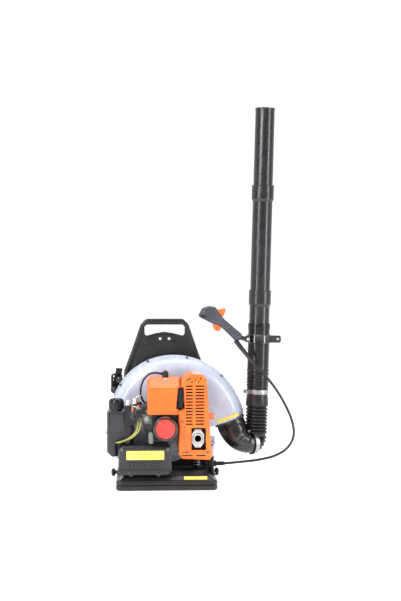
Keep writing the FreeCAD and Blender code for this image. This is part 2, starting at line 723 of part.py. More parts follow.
def bellows():
    """The ribbed elbow hose: a corner ball, a mouth collar, ribs and a smooth cuff."""
    lean_back = Rotation(Vector(0, 1, 0), -number("tube_lean"))
    _, leaving = mouth()
    back = lean_back.multVec(leaving * -1)
    reach = number("tube_x - mouth_x") / leaving.x
    collar = made("Cylinder", ("0", "0", "0"), toward(back), Radius="bellows_radius + 0.3",
                  Height=f"{reach:.3f}")
    hollow = made("Cylinder", ("0", "0", "0"), toward(back),
                  Radius="bellows_radius - bellows_wall + 0.3", Height=f"{reach + 2:.3f}")
    ribs = [ring(("0", "0", f"cuff_low - 8 - {i} * ring_pitch"), "bellows_radius", "ring_tube")
            for i in range(6)]
    fan_out = [made("Torus", ("0", "0", "0"), toward(back * math.sin(math.radians(angle))
                    + Vector(0, 0, math.cos(math.radians(angle)))),
                    Radius1="bellows_radius", Radius2="ring_tube") for angle in (0, 22, 44, 66)]
    outer = fuse(ball(("0", "0", "0"), "bellows_radius + 0.3"), collar,
                 rod(("0", "0", "0"), "bellows_radius", "cuff_low + 2"), *ribs, *fan_out,
                 cone(("0", "0", "cuff_low"), "cuff_radius", "cuff_top_radius", "36"),
                 rod(("0", "0", "cuff_low + 36"), "cuff_top_radius", "cuff_high - cuff_low - 36"))
    inside = fuse(ball(("0", "0", "0"), "bellows_radius - bellows_wall + 0.3"), hollow,
                  rod(("0", "0", "0"), "bellows_radius - bellows_wall + 0.1", "cuff_high + 5"))
    edge = back * reach
    clear = made("Cylinder", tuple(f"{value:.3f}" for value in edge), toward(back),
                 Radius="mouth_radius + 4.5", Height="45")
    lean(cut(outer, inside, clear), "bellows")


def band_clamps():
    """The two steel band clamps with their worm-screw housings."""
    lean_back = Rotation(Vector(0, 1, 0), -number("tube_lean"))
    _, leaving = mouth()
    back = lean_back.multVec(leaving * -1)
    start = back * 6
    spot = tuple(f"{value:.3f}" for value in start)
    low_band = cut(
        made("Cylinder", spot, toward(back), Radius="bellows_radius + 4.9", Height="band_wide"),
        made("Cylinder", ("0", "0", "0"), toward(back), Radius="bellows_radius + 3.7",
             Height="band_wide + 10"))
    upper_band = on_axis("band_low", "cuff_top_radius + 0.3 + band_thick",
                         "cuff_top_radius + 0.3", "band_low + band_wide")
    screws = [block(("-cuff_top_radius - 11", "-7", "band_low + 1"),
                    ("-cuff_top_radius", "7", "band_low + band_wide - 1")),
              rod(("-cuff_top_radius - 6", "-14", "band_low + band_wide / 2"), "3.4", "8", "y")]
    bore = rod(("0", "0", "band_low - 1"), "cuff_top_radius + 0.3", "band_wide + 2")
    lean(group(low_band, cut(fuse(upper_band, *screws), bore)), "band_clamps")


def collar(low):
    """A pipe's flared socket with its rim and bayonet lug."""
    return [cone(("0", "0", f"{low} - 8"), "pipe_radius", "collar_radius", "8"),
            rod(("0", "0", low), "collar_radius", "collar_tall"),
            ring(("0", "0", f"{low} + collar_tall - 2"), "collar_radius", "1.6"),
            block(("-5", "-collar_radius - 4", f"{low} + 8"), ("5", "-collar_radius + 3", f"{low} + 20"))]


def pipes():
    """The swivel pipe, two straight pipes with sockets, and the nozzle pipe."""
    ridges = [ring(("0", "0", f"swivel_low + {step}"), "swivel_radius", "1.8")
              for step in (9, 18, 27, 45, 55)]
    foot = on_axis("pipe_low", "bellows_radius - bellows_wall - 0.2",
                   "bellows_radius - bellows_wall - 2.2", "swivel_low + 4")
    sleeve = rod(("0", "0", "swivel_low"), "swivel_radius", "swivel_high - swivel_low")
    bore = rod(("0", "0", "swivel_low - 1"), "bellows_radius - bellows_wall - 2.2",
               "swivel_high - swivel_low - 30")
    socket = rod(("0", "0", "swivel_high - collar_depth"), "pipe_radius + 0.2", "collar_depth + 2")
    lean(cut(fuse(sleeve, foot, *ridges), bore, socket), "swivel_pipe")
    lean(cut(fuse(rod(("0", "0", "swivel_high - collar_depth + 0.3"), "pipe_radius",
                      "joint_one - swivel_high + collar_depth"), *collar("joint_one - 20")),
             rod(("0", "0", "swivel_high - collar_depth"), "pipe_radius - pipe_wall",
                 "joint_one - swivel_high + collar_depth"),
             rod(("0", "0", "joint_one - 8"), "second_radius + 0.2", "collar_tall + 4")),
         "straight_pipe_1")
    lean(cut(fuse(rod(("0", "0", "joint_one - 7.7"), "second_radius", "joint_two - joint_one"),
                  *collar("joint_two - 20")),
             rod(("0", "0", "joint_one - 9"), "second_radius - pipe_wall", "joint_two - joint_one"),
             rod(("0", "0", "joint_two - 10"), "third_radius + 0.2", "collar_tall + 4")),
         "straight_pipe_2")
    lip = ring(("0", "0", "tube_top - 2"), "third_radius", "1.2")
    lean(cut(fuse(rod(("0", "0", "joint_two - 9.7"), "third_radius", "tube_top - joint_two + 9.7"),
                  lip),
             rod(("0", "0", "joint_two - 11"), "third_radius - pipe_wall", "tube_top")),
         "nozzle_pipe")


def handle_clamp():
    """The clamp ring round the tube: a drilled ear outboard, a forked arm for the grip."""
    high = "handle_low + handle_wide"
    hoop = rod(("0", "0", "handle_low"), "swivel_radius + 4.5", "handle_wide")
    ear = block(("swivel_radius - 1", "-5", "handle_low"), ("ear_reach", "5", high))
    lug = block(("-51", "-swivel_radius - 8", "handle_low - 2"),
                ("-swivel_radius + 2", "-18", high))
    bore = rod(("0", "0", "handle_low - 4"), "swivel_radius + 0.3", "handle_wide + 8")
    hole = rod(("ear_hole_x", "-8", "handle_low + handle_wide / 2"), "ear_hole", "16", "y")
    lean(cut(fuse(hoop, ear, lug), bore, hole), "handle_clamp")
    shank = rod(("-70", "-31", "handle_low + 13"), "3", "26", "x")
    knob = rod(("-78", "-31", "handle_low + 13"), "8", "8", "x")
    lean(cut(fuse(shank, knob), block(("-58", "-40", "0"), ("-40", "-20", "10"))), "clamp_bolt")


# ---------------------------------------------------------------------------
# Hand grip
# ---------------------------------------------------------------------------
GRIP = [("100", "507"), ("113", "529"), ("133", "535"), ("153", "532"), ("160", "518"),
        ("177", "495"), ("206", "470"), ("233", "448"), ("233", "437"), ("222", "426"),
        ("210", "430"), ("183", "458"), ("164", "474"), ("141", "481"), ("126", "489"),
        ("104", "500")]
GRIP_HOLLOW = [("108", "508"), ("118", "526"), ("133", "531"), ("150", "528"), ("156", "516"),
               ("174", "491"), ("203", "466"), ("226", "446"), ("221", "433"), ("211", "435"),
               ("185", "462"), ("166", "478"), ("143", "485"), ("128", "493")]


def grip_half(label, front):
    """One moulded half of the hand grip, hollow, with openings for trigger and lever."""
    body = new_body()
    offset = "-(grip_middle - 0.15)" if front else "-(grip_middle + 0.15)"
    pad(body, outline(new_sketch(body, "XZ_Plane", offset), GRIP), "grip_half", back=not front)
    outer = "grip_middle - 0.15 - grip_half" if front else "grip_middle + 0.15 + grip_half"
    soften(body, "7", lambda edge: level(edge, "y", outer))
    hollow = outline(new_sketch(body, "XZ_Plane", offset), GRIP_HOLLOW)
    pocket(body, hollow, "grip_half - grip_wall", back=front)
    gaps = new_sketch(body, "XZ_Plane", offset)
    outline(gaps, [("141.5", "490"), ("170", "486"), ("186", "470"), ("182", "448"), ("141.5", "464")])
    outline(gaps, [("155", "505"), ("158", "530"), ("188", "530"), ("176", "489")])
    pocket(body, gaps, "lever_half + 0.5", back=front)
    return node(body, label)


def grip_parts():
    """The trigger, the cruise lever, and the pins and screws that hold the grip together."""
    grip_half("grip_front_shell", True)
    grip_half("grip_rear_shell", False)
    low = "grip_middle - lever_half"
    blade = new_body()
    shape = outline(new_sketch(blade, "XZ_Plane", f"-({low})"),
                    [("trigger_x - 5", "trigger_z + 4"), ("trigger_x + 5", "trigger_z + 4"),
                     ("trigger_x + 9", "trigger_z - 8"), ("169", "466"), ("163", "457"),
                     ("150", "461"), ("143", "472"), ("trigger_x - 5", "trigger_z - 6")])
    pad(blade, shape, "2 * lever_half", back=True)
    soften(blade, "2", lambda edge: straight(edge, "y") and edge.BoundBox.ZMax < 473)
    eye = circle(new_sketch(blade, "XZ_Plane", f"-({low})"), ("trigger_x", "trigger_z"),
                 "pin_radius + 0.05")
    pocket(blade, eye, "2 * lever_half")
    node(blade, "trigger")
    lever = new_body()
    shape = outline(new_sketch(lever, "XZ_Plane", f"-({low})"),
                    [("lever_x - 5", "lever_z - 5"), ("lever_x + 4", "lever_z - 5"),
                     ("lever_x + 9", "lever_z + 4"), ("181", "523"), ("175", "525"),
                     ("lever_x + 3", "515"), ("lever_x - 5", "lever_z + 5")])
    pad(lever, shape, "2 * lever_half", back=True)
    soften(lever, "2", lambda edge: straight(edge, "y") and edge.BoundBox.ZMin > 512)
    eye = circle(new_sketch(lever, "XZ_Plane", f"-({low})"), ("lever_x", "lever_z"),
                 "pin_radius + 0.05")
    pocket(lever, eye, "2 * lever_half")
    node(lever, "cruise_lever")
    pins = [rod((x, "grip_middle - grip_half + grip_wall - 1.5", z), "pin_radius",
                "2 * (grip_half - grip_wall + 1.5)", "y")
            for x, z in (("trigger_x", "trigger_z"), ("lever_x", "lever_z"))]
    screws = [fuse(rod((x, "grip_middle - grip_half - 0.6", z), "3.2", "2.4", "y"),
                   rod((x, "grip_middle - grip_half", z), "1.6", "2 * grip_half - 2", "y"))
              for x, z in (("118", "517"), ("192", "470"), ("222", "441"))]
    node(group(*pins, *screws), "grip_fasteners")


# ---------------------------------------------------------------------------
# Throttle cable
# ---------------------------------------------------------------------------
CABLE = [("218.5", "20", "422.5"), ("231", "14", "405"), ("254", "-2", "377"),
         ("287", "-20", "340"),
         ("325", "-26", "296"), ("358", "-28", "243"), ("382", "-28", "190"),
         ("389", "-28", "144"), ("370", "-29", "106"), ("332", "-31", "83"), ("284", "-33", "72"),
         ("228", "-34", "66"), ("gland_x + 12", "gland_y", "gland_z")]


def throttle_cable():
    cable = cord_shape("throttle_cable", CABLE, number("cable_radius"))
    node(solid(cable), "throttle_cable")
    bracket = block(("gland_x - 28", "gland_y - 12", "base_height"),
                    ("gland_x - 22", "gland_y + 12", "gland_z + 12"))
    foot = block(("gland_x - 28", "gland_y - 12", "base_height"),
                 ("gland_x - 16", "gland_y + 12", "base_height + 4"))
    gland = fuse(rod(("gland_x - 26", "gland_y", "gland_z"), "gland_radius", "30", "x"),
                 rod(("gland_x - 20", "gland_y", "gland_z"), "gland_radius + 3", "6", "x"),
                 cone(("gland_x + 4", "gland_y", "gland_z"), "gland_radius", "cable_radius + 1",
                      "8", "x"))
    node(fuse(bracket, foot, gland), "cable_gland")


# ---------------------------------------------------------------------------
# Crankcase, crank train and cylinder
# ---------------------------------------------------------------------------
def on_crank(start, radius, finish, x="crank_x", z="crank_z"):
    """A round bar along Y, on the crank axis unless told otherwise, from start to finish."""
    return rod((x, start, z), radius, f"({finish}) - ({start})", "y")


def crankcase():
    wall = "chamber_radius + crankcase_wall"
    deck_low, deck_high = "crank_z + 22", "deck - 0.3"
    front = fuse(on_crank("crankcase_front_y", wall, "crankcase_split - 0.15"),
                 block(("crank_x - 32", "crankcase_front_y", deck_low),
                       ("crank_x + 32", "crankcase_split - 0.15", deck_high)),
                 block(("crank_x - 40", "crankcase_front_y", "crank_z - 48"),
                       ("crank_x + 40", "crankcase_front_y + 12", "crank_z - 20")))
    front_hollow = [on_crank("crankcase_front_y + 18", "chamber_radius", "crankcase_split"),
                    on_crank("crankcase_front_y - 1", "shaft_radius + 1", "crankcase_split"),
                    on_crank("crankcase_front_y + 5", "bearing_radius", "crankcase_split"),
                    rod(("crank_x", "crankcase_split", "crank_z"), "bore_radius + 3.4", "60"),
                    block(("-60", "crankcase_front_y - 5", "deck - 0.3"),
                          ("60", "crankcase_split + 5", "deck + 20"))]
    node(cut(front, *front_hollow), "crankcase_front")
    rear = fuse(on_crank("crankcase_split + 0.15", wall, "crankcase_back_y"),
                block(("crank_x - 32", "crankcase_split + 0.15", deck_low),
                      ("crank_x + 32", "crankcase_back_y", deck_high)),
                on_crank("crankcase_back_y - 1", "skirt_radius", "crankcase_back_y"),
                cut(on_crank("crankcase_back_y - 1", "skirt_radius", "case_front - 0.3"),
                    on_crank("crankcase_back_y - 2", "skirt_radius - 4", "case_front + 2")))
    window = block(("crank_x - 70", "crankcase_back_y", "crank_z + 24"),
                   ("crank_x - 16", "case_front + 2", "crank_z + 70"))
    rear_hollow = [on_crank("crankcase_split", "chamber_radius", "crankcase_back_y - 16"),
                   on_crank("crankcase_split", "shaft_radius + 1", "crankcase_back_y + 2"),
                   on_crank("crankcase_split", "bearing_radius", "crankcase_back_y - 5"),
                   rod(("crank_x", "crankcase_split", "crank_z"), "bore_radius + 3.4", "60"),
                   block(("-60", "crankcase_split - 5", "deck - 0.3"),
                         ("60", "crankcase_back_y - 1.3", "deck + 20"))]
    node(cut(rear, window, *rear_hollow), "crankcase_rear")
    races = []
    for start in ("crankcase_front_y + 5.1", "crankcase_back_y - 5.1 - bearing_width"):
        finish = f"{start} + bearing_width"
        races.append(cut(on_crank(start, "bearing_radius - 0.02", finish),
                         on_crank(f"{start} - 1", "bearing_radius - 3", f"{finish} + 1")))
        races.append(cut(on_crank(start, "shaft_radius + 3", finish),
                         on_crank(f"{start} - 1", "shaft_radius", f"{finish} + 1")))
        balls = [ball((f"crank_x + (bearing_radius + shaft_radius) / 2 * cos({turn})",
                       f"{start} + bearing_width / 2",
                       f"crank_z + (bearing_radius + shaft_radius) / 2 * sin({turn})"), "1.9")
                 for turn in range(0, 360, 45)]
        races.extend(balls)
    node(group(*races), "crank_bearings")


def crank_train():
    """Crankshaft and flywheel; the rod, its pins and the piston stand at top dead centre."""
    web_front = "crankcase_split - rod_thick / 2 - gap - web_thick"
    web_rear = "crankcase_split + rod_thick / 2 + gap"
    shaft = "shaft_radius - run_gap"
    node(fuse(on_crank("shaft_front", shaft, web_front + " + 1"),
              on_crank(web_front, "web_radius", f"{web_front} + web_thick"),
              on_crank(web_rear, "web_radius", f"{web_rear} + web_thick"),
              on_crank(f"{web_rear} + web_thick - 1", shaft, "shaft_rear")), "crankshaft")
    pin_z, top_z = "crank_z + throw", "crank_z + throw + rod_length"
    start, finish = "crankcase_split - rod_thick / 2", "crankcase_split + rod_thick / 2"
    shank = block(("crank_x - 5", "crankcase_split - 2.5", f"{pin_z} + 6"),
                  ("crank_x + 5", "crankcase_split + 2.5", f"{top_z} - 5"))
    rod_form = fuse(on_crank(start, "12", finish, z=pin_z), on_crank(start, "8", finish, z=top_z),
                    shank)
    node(cut(rod_form, on_crank(f"{start} - 1", "7.05", f"{finish} + 1", z=pin_z),
             on_crank(f"{start} - 1", "5.05", f"{finish} + 1", z=top_z)), "connecting_rod")
    node(group(on_crank(start, "7", finish, z=pin_z),
               on_crank("crankcase_split - 20", "5", "crankcase_split + 20", z=top_z)),
         "rod_pins")
    crown = "crank_z + throw + rod_length + 24"
    piston = cut(rod(("crank_x", "crankcase_split", f"{crown} - piston_tall"), "piston_radius",
                     "piston_tall"),
                 rod(("crank_x", "crankcase_split", f"{crown} - piston_tall - 1"),
                     "piston_radius - 3.5", "piston_tall - 4"))
    bosses = cut(on_crank("crankcase_split - 22", "9", "crankcase_split + 22", z=top_z),
                 block(("crank_x - 12", "crankcase_split - rod_thick / 2 - 0.6", f"{top_z} - 12"),
                       ("crank_x + 12", "crankcase_split + rod_thick / 2 + 0.6", f"{top_z} + 12")))
    node(cut(fuse(piston, bosses), on_crank("crankcase_split - 30", "5.05",
                                            "crankcase_split + 30", z=top_z)), "piston")
    wheel = fuse(on_crank("crankcase_back_y + 3", "flywheel_radius", "case_front - 3"),
                 on_crank("crankcase_back_y + 1", "14", "case_front + 4"))
    node(cut(wheel, on_crank("crankcase_back_y - 5", "shaft_radius", "case_front + 9")),
         "flywheel")


def cylinder():
    """The finned cylinder with its intake and exhaust bosses."""
    body = new_body(("crank_x", "crankcase_split", "0"))
    pad(body, circle(new_sketch(body, "XY_Plane", "deck - 16"), ("0", "0"), "bore_radius + 3"),
        "20")
    pad(body, circle(new_sketch(body, "XY_Plane", "deck"), ("0", "0"), "bore_radius + 4.4"),
        "head + 8 - deck")
    flange = rectangle(new_sketch(body, "XY_Plane", "deck"), ("-31", "-26"), ("31", "26"))
    pad(body, flange, "6")
    fin = rectangle(new_sketch(body, "XY_Plane", "fin_low"),
                    ("fin_left - crank_x", "fin_front - crankcase_split"),
                    ("fin_right - crank_x", "fin_back - crankcase_split"))
    first = pad(body, fin, "fin_thick")
    repeat_line(body, [first], "Z_Axis", "fin_pitch", 9)
    boss = rectangle(new_sketch(body, "YZ_Plane"), ("-16", "deck + 6"), ("16", "deck + 28"))
    pad(body, boss, "fin_right - crank_x + 6")
    inlet = rectangle(new_sketch(body, "YZ_Plane"), ("-18", "deck + 4"), ("18", "deck + 30"))
    pad(body, inlet, "crank_x - fin_left + 4", back=True)
    bore = circle(new_sketch(body, "XY_Plane", "deck - 17"), ("0", "0"), "bore_radius")
    pocket(body, bore, "head - deck + 17", back=True)
    port = circle(new_sketch(body, "YZ_Plane"), ("0", "deck + 17"), "8")
    pocket(body, port, "60", back=True)
    drawn = circle(new_sketch(body, "YZ_Plane"), ("0", "deck + 17"), "8")
    pocket(body, drawn, "60")
    seat = circle(new_sketch(body, "XY_Plane", "head - 5"),
                  ("plug_x - crank_x", "plug_y - crankcase_split"), "5")
    pocket(body, seat, "30", back=True)
    node(body, "cylinder")


def ignition():
    """Spark plug, its rubber cap, the lead and the coil beside the flywheel."""
    at = ("plug_x", "plug_y")
    node(fuse(rod((*at, "head - 2"), "4.9", "14"), rod((*at, "head + 8.6"), "8", "5"),
              rod((*at, "head + 13"), "4", "12"), rod((*at, "head + 25"), "2", "6")), "spark_plug")
    outer = fuse(rod((*at, "head + 14"), "9", "26"), ball((*at, "head + 38"), "7"),
                 rod(("plug_x", "plug_y", "head + 35"), "5", "13", "-x"))
    inner = [rod((*at, "head + 13"), "4.2", "12.6"), rod((*at, "head + 20"), "2.2", "12")]
    node(cut(outer, *inner), "plug_cap")
    lead = [("plug_x - 12.8", "plug_y", "head + 35"), ("-33", "-57", "338"), ("-52", "-55", "334"),
            ("-67", "-51", "318"), ("-76", "-45", "293"), ("-76", "-34", "269"),
            ("-69", "-21", "250"), ("-60", "-10", "240")]
    node(solid(cord_shape("ignition_lead", lead, 3.0)), "ignition_lead")
    coil = fuse(block(("-62", "-7", "222"), ("-36", "11", "246")),
                block(("-52", "-2", "218"), ("-46", "8", "224")),
                block(("-42", "-2", "226"), ("-36", "8", "232")))
    node(cut(coil, on_crank("-20", "flywheel_radius + 0.4", "20")), "ignition_coil")


# ---------------------------------------------------------------------------
# Fuel and air
# ---------------------------------------------------------------------------
def carburettor():
    middle_y = "(carb_front + carb_back) / 2"
    neck = block(("carb_right - 1", "carb_front + 12", "deck + 4"),
                 ("fin_left - 4.3", "carb_back - 4", "deck + 30"))
    body = fuse(neck,
                block(("carb_left + 8", "carb_front + 6", "carb_low + 4"),
                      ("carb_right", "carb_back - 2", "carb_high - 4")),
                block(("carb_left", "carb_front + 10", "carb_low + 10"),
                      ("carb_left + 10", "carb_back - 6", "carb_high - 8")),
                rod(("(carb_left + carb_right) / 2", middle_y, "carb_high - 5"), "11", "9"),
                rod(("(carb_left + carb_right) / 2", middle_y, "carb_low - 2"), "14", "8"),
                cut(block(("carb_right - 8", "primer_y + 2", "primer_z - 15"),
                          ("primer_x + 15", "primer_y + 5", "primer_z + 13.5")),
                    rod(("primer_x", "primer_y", "primer_z"), "primer_radius + 2.3", "10", "y")),
                block(("primer_x - 15", "primer_y + 4", "primer_z - 13"),
                      ("primer_x - 12.4", "carb_front + 8", "primer_z + 13")),
                block(("choke_x - 6", "choke_y + 6", "choke_z - 6"),
                      ("choke_x + 6", "carb_front + 8", "choke_z + 6")))
    throat = rod(("carb_left - 1", middle_y, "carb_low + 22"), "8", "70", "x")
    shaft_hole = rod(("choke_x", "choke_y", "choke_z"), "2.55", "40", "y")
    node(cut(body, throat, shaft_hole), "carburetor")
    arm = new_body(("choke_x", "0", "choke_z"))
    plate = outline(new_sketch(arm, "XZ_Plane", "-(choke_y + 1.5)"),
                    [("-4", "5"), ("5", "4"), ("5", "-4"), ("-28", "-42"), ("-38", "-48"),
                     ("-41", "-42"), ("-34", "-36")])
    pad(arm, plate, "3.5")
    soften(arm, "2.5", lambda edge: straight(edge, "y"))
    stem = circle(new_sketch(arm, "XZ_Plane", "-(choke_y + 1)"), ("0", "0"), "2.5")
    pad(arm, stem, "30", back=True)
    node(arm, "choke_lever")
    base_y = "primer_y + 1.7"
    bulb = fuse(rod(("primer_x", base_y, "primer_z"), "primer_radius + 2", "2", "-y"),
                common(ball(("primer_x", "primer_y - 1", "primer_z"), "primer_radius"),
                       block(("primer_x - 20", "primer_y - 20", "primer_z - 20"),
                             ("primer_x + 20", "primer_y", "primer_z + 20"))))
    node(bulb, "primer_bulb")
    top = "carb_low + 28"
    def duct_run(radius, start, finish):
        """Square legs with plain corners: along the carburettor's axis, forwards, then down."""
        legs = [(("duct_x", middle_y, top), (start, middle_y, top)),
                (("duct_x", "duct_y", top), ("duct_x", middle_y, top)),
                (("duct_x", "duct_y", finish), ("duct_x", "duct_y", top))]
        shapes = []
        for low, high in legs:
            low_ends = [f"{text} - {radius}" for text in low]
            high_ends = [f"{text} + {radius}" for text in high]
            if high[0] == start:
                high_ends[0] = start
            if low[2] == finish:
                low_ends[2] = finish
            shapes.append(block(low_ends, high_ends))
        return fuse(*shapes)

    bore = "(duct_radius - duct_wall)"
    outer = duct_run("duct_radius", "carb_left - 0.3", "cleaner_high + 0.3")
    inner = duct_run(bore, "carb_left + 2", "cleaner_high - 5")
    node(cut(outer, inner), "intake_duct")


def air_cleaner():
    cover = new_body()
    face = [("cleaner_left + 10", "cleaner_high"), ("cleaner_right - 10", "cleaner_high"),
            ("cleaner_right - 2", "cleaner_high - 12"), ("cleaner_right", "cleaner_low + 14"),
            ("cleaner_right - 8", "cleaner_low"), ("cleaner_left + 8", "cleaner_low"),
            ("cleaner_left", "cleaner_low + 14"), ("cleaner_left + 2", "cleaner_high - 12")]
    shell = outline(new_sketch(cover, "XZ_Plane", "-cleaner_split"), face)
    pad(cover, shell, "cleaner_split - cleaner_front")
    soften(cover, "6", lambda edge: straight(edge, "y"))
    soften(cover, "5", lambda edge: level(edge, "y", "cleaner_front"))
    inside = rectangle(new_sketch(cover, "XZ_Plane", "-cleaner_split"),
                       ("cleaner_left + 6", "cleaner_low + 5"),
                       ("cleaner_right - 6", "cleaner_high - 5"))
    pocket(cover, inside, "cleaner_split - cleaner_front - cleaner_wall - 3", back=True)
    label = rectangle(new_sketch(cover, "XZ_Plane", "-cleaner_front"),
                      ("cleaner_left + 25", "91"), ("cleaner_right - 15", "119"))
    pocket(cover, label, "0.8")
    rib = rectangle(new_sketch(cover, "XZ_Plane", "-cleaner_front"),
                    ("cleaner_left + 26", "66"), ("cleaner_left + 34", "84"))
    first = pocket(cover, rib, "3")
    repeat_line(cover, [first], "X_Axis", "13.6", 9)
    node(cover, "air_cleaner_cover")
    base = new_body()
    back = outline(new_sketch(base, "XZ_Plane", "-cleaner_back"), face)
    pad(base, back, "cleaner_back - cleaner_split - gap")
    soften(base, "6", lambda edge: straight(edge, "y"))
    room = rectangle(new_sketch(base, "XZ_Plane", "-(cleaner_split + gap)"),
                     ("cleaner_left + 6", "cleaner_low + 5"),
                     ("cleaner_right - 6", "cleaner_high - 5"))
    pocket(base, room, "cleaner_back - cleaner_split - gap - 4")
    inlet = circle(new_sketch(base, "XY_Plane", "cleaner_high + 1"), ("duct_x", "duct_y"),
                   "duct_radius - duct_wall")
    pocket(base, inlet, "8")
    node(base, "air_cleaner_base")
    node(block(("cleaner_left + 15", "cleaner_front + 10", "cleaner_low + 7"),
               ("cleaner_right - 15", "cleaner_back - 6", "cleaner_high - 16")), "filter_element")


def fuel():
    tank = new_body()
    side = [("tank_left", "tank_low + 14"), ("tank_left", "tank_high"), ("-118", "tank_high"),
            ("-118", "186"), ("tank_right", "180"), ("tank_right", "tank_low"),
            ("tank_left + 14", "tank_low")]
    pad(tank, outline(new_sketch(tank, "XZ_Plane", "-tank_back"), side),
        "tank_back - tank_step")
    over = side[:5]
    over += [("tank_right", "shelf"), ("cleaner_left - 3", "shelf"), ("cleaner_left - 3", "tank_low"),
             side[-1]]
    pad(tank, outline(new_sketch(tank, "XZ_Plane", "-(tank_step + 1)"), over),
        "tank_step + 1 - tank_front")
    soften(tank, "4", lambda edge: straight(edge, "y"))
    soften(tank, "3", lambda edge: level(edge, "y", "tank_front"))
    seam = rectangle(new_sketch(tank, "XZ_Plane", "-(tank_back - 2)"), ("tank_left - 2.5", "160"),
                     ("tank_right + 1.5", "164"))
    pad(tank, seam, "tank_back - tank_front - 8")
    neck = circle(new_sketch(tank, "XY_Plane", "tank_high - 3"), ("cap_x", "cap_y"),
                  "neck_radius")
    pad(tank, neck, "20")
    inside = [("tank_left + 4", "tank_low + 18"), ("tank_left + 4", "tank_high - 4"),
              ("-122", "tank_high - 4"), ("-122", "182"), ("tank_right - 4", "176"),
              ("tank_right - 4", "tank_low + 6"), ("tank_left + 18", "tank_low + 6")]
    room = outline(new_sketch(tank, "XZ_Plane", "-(tank_back - 3)"), inside)
    pocket(tank, room, "tank_back - tank_step - 6", back=True)
    front_room = rectangle(new_sketch(tank, "XZ_Plane", "-(tank_step + 4)"),
                           ("tank_left + 5", "shelf + 4"), ("-124", "tank_high - 6"))
    pocket(tank, front_room, "tank_step - tank_front + 1", back=True)
    filler = circle(new_sketch(tank, "XY_Plane", "tank_high - 6"), ("cap_x", "cap_y"),
                    "neck_radius - 2.5")
    pocket(tank, filler, "30", back=True)
    node(tank, "fuel_tank")
    cap = new_body(("cap_x", "cap_y", "cap_low"))
    pad(cap, circle(new_sketch(cap, "XY_Plane"), ("0", "0"), "cap_radius"),
        "cap_high - cap_low")
    soften(cap, "4", lambda edge: level(edge, "z", "cap_high - cap_low"))
    flute = circle(new_sketch(cap, "XY_Plane"), ("cap_radius + 2", "0"), "3.2")
    first = pocket(cap, flute, "cap_high - cap_low - 7", back=True)
    repeat_round(cap, [first], "Z_Axis", 16)
    socket = circle(new_sketch(cap, "XY_Plane"), ("0", "0"), "neck_radius + gap")
    pocket(cap, socket, "18", back=True)
    node(cap, "fuel_cap")
    hoses = []
    for shift in (0, 8):
        drop = shift / 4
        route = [(f"-78 - {shift}", "carb_front + 1", "206"), (f"-77 - {shift}", "-98", "203"),
                 (f"-75 - {shift}", "-112", f"193 - {drop}"),
                 (f"-80 - {shift}", "-119", f"174 - {drop}"),
                 (f"-93 - {shift}", "-121", f"159 - {drop}"),
                 (f"-108 - {shift}", "-120", f"149 - {drop}"),
                 (f"-122 - {shift}", "-117", f"143 - {drop}"),
                 (f"-133 - {shift}", "-110", f"139 - {drop}"),
                 (f"-139 - {shift}", "-99", f"137 - {drop}"),
                 (f"-140 - {shift}", "tank_front - 0.3", f"137 - {drop}")]
        hoses.append(solid(cord_shape("fuel_hose", route, 2.8)))
    node(group(*hoses), "fuel_hoses")


# ---------------------------------------------------------------------------
# Exhaust and the engine's covers
# ---------------------------------------------------------------------------
def muffler():
    body = new_body()
    section = rectangle(new_sketch(body, "XY_Plane", "muffler_low"),
                        ("muffler_left", "muffler_front"), ("muffler_right", "muffler_back"))
    pad(body, section, "muffler_high - muffler_low")
    soften(body, "12", lambda edge: straight(edge, "z"))
    inside = rectangle(new_sketch(body, "XY_Plane", "muffler_low + 1.5"),
                       ("muffler_left + 5", "muffler_front + 5"),
                       ("muffler_right - 5", "muffler_back - 5"))
    pocket(body, inside, "muffler_high - muffler_low - 3", back=True)
    inlet = rectangle(new_sketch(body, "YZ_Plane", "fin_right + 6.3"),
                      ("crankcase_split - 14", "deck + 7"), ("crankcase_split + 10", "deck + 27"))
    pad(body, inlet, "muffler_left - fin_right - 4")
    port = circle(new_sketch(body, "YZ_Plane", "fin_right + 6"),
                  ("crankcase_split", "deck + 17"), "8")
    pocket(body, port, "muffler_left - fin_right", back=True)
    hole = circle(new_sketch(body, "XZ_Plane", "-muffler_front + 1"), ("exhaust_x", "exhaust_z"),
                  "exhaust_radius")
    pocket(body, hole, "14")
    node(body, "muffler")
    plate = new_body(("exhaust_x", "0", "exhaust_z"))
    shape = outline(new_sketch(plate, "XZ_Plane", "-(exhaust_plate_front + 3.7)"),
                    [("-18", "12"), ("-8", "27"), ("8", "27"), ("18", "12"), ("18", "-12"),
                     ("8", "-27"), ("-8", "-27"), ("-18", "-12")])
    pad(plate, shape, "3.7")
    collar_face = circle(new_sketch(plate, "XZ_Plane", "-exhaust_plate_front"), ("0", "0"),
                         "exhaust_radius + 5")
    pad(plate, collar_face, "5")
    soften(plate, "2", lambda edge: level(edge, "y", "exhaust_plate_front - 5"))
    bore = circle(new_sketch(plate, "XZ_Plane", "-(exhaust_plate_front - 6)"), ("0", "0"),
                  "exhaust_radius")
    pocket(plate, bore, "14", back=False)
    node(plate, "exhaust_outlet")


COVER = [("35", "230"), ("35", "104"), ("44", "90"), ("126", "86"), ("133", "96"),
         ("118", "322"), ("104", "337"), ("74", "341"), ("56", "334"), ("44", "320"),
         ("42", "302"), ("50", "297"), ("53", "236")]
COVER_HOLLOW = [("38", "227"), ("38", "107"), ("47", "93"), ("124", "89"), ("130", "98"),
                ("115", "320"), ("103", "334"), ("75", "338"), ("58", "331"), ("47", "318"),
                ("45.5", "304"), ("53", "300"), ("56", "233")]


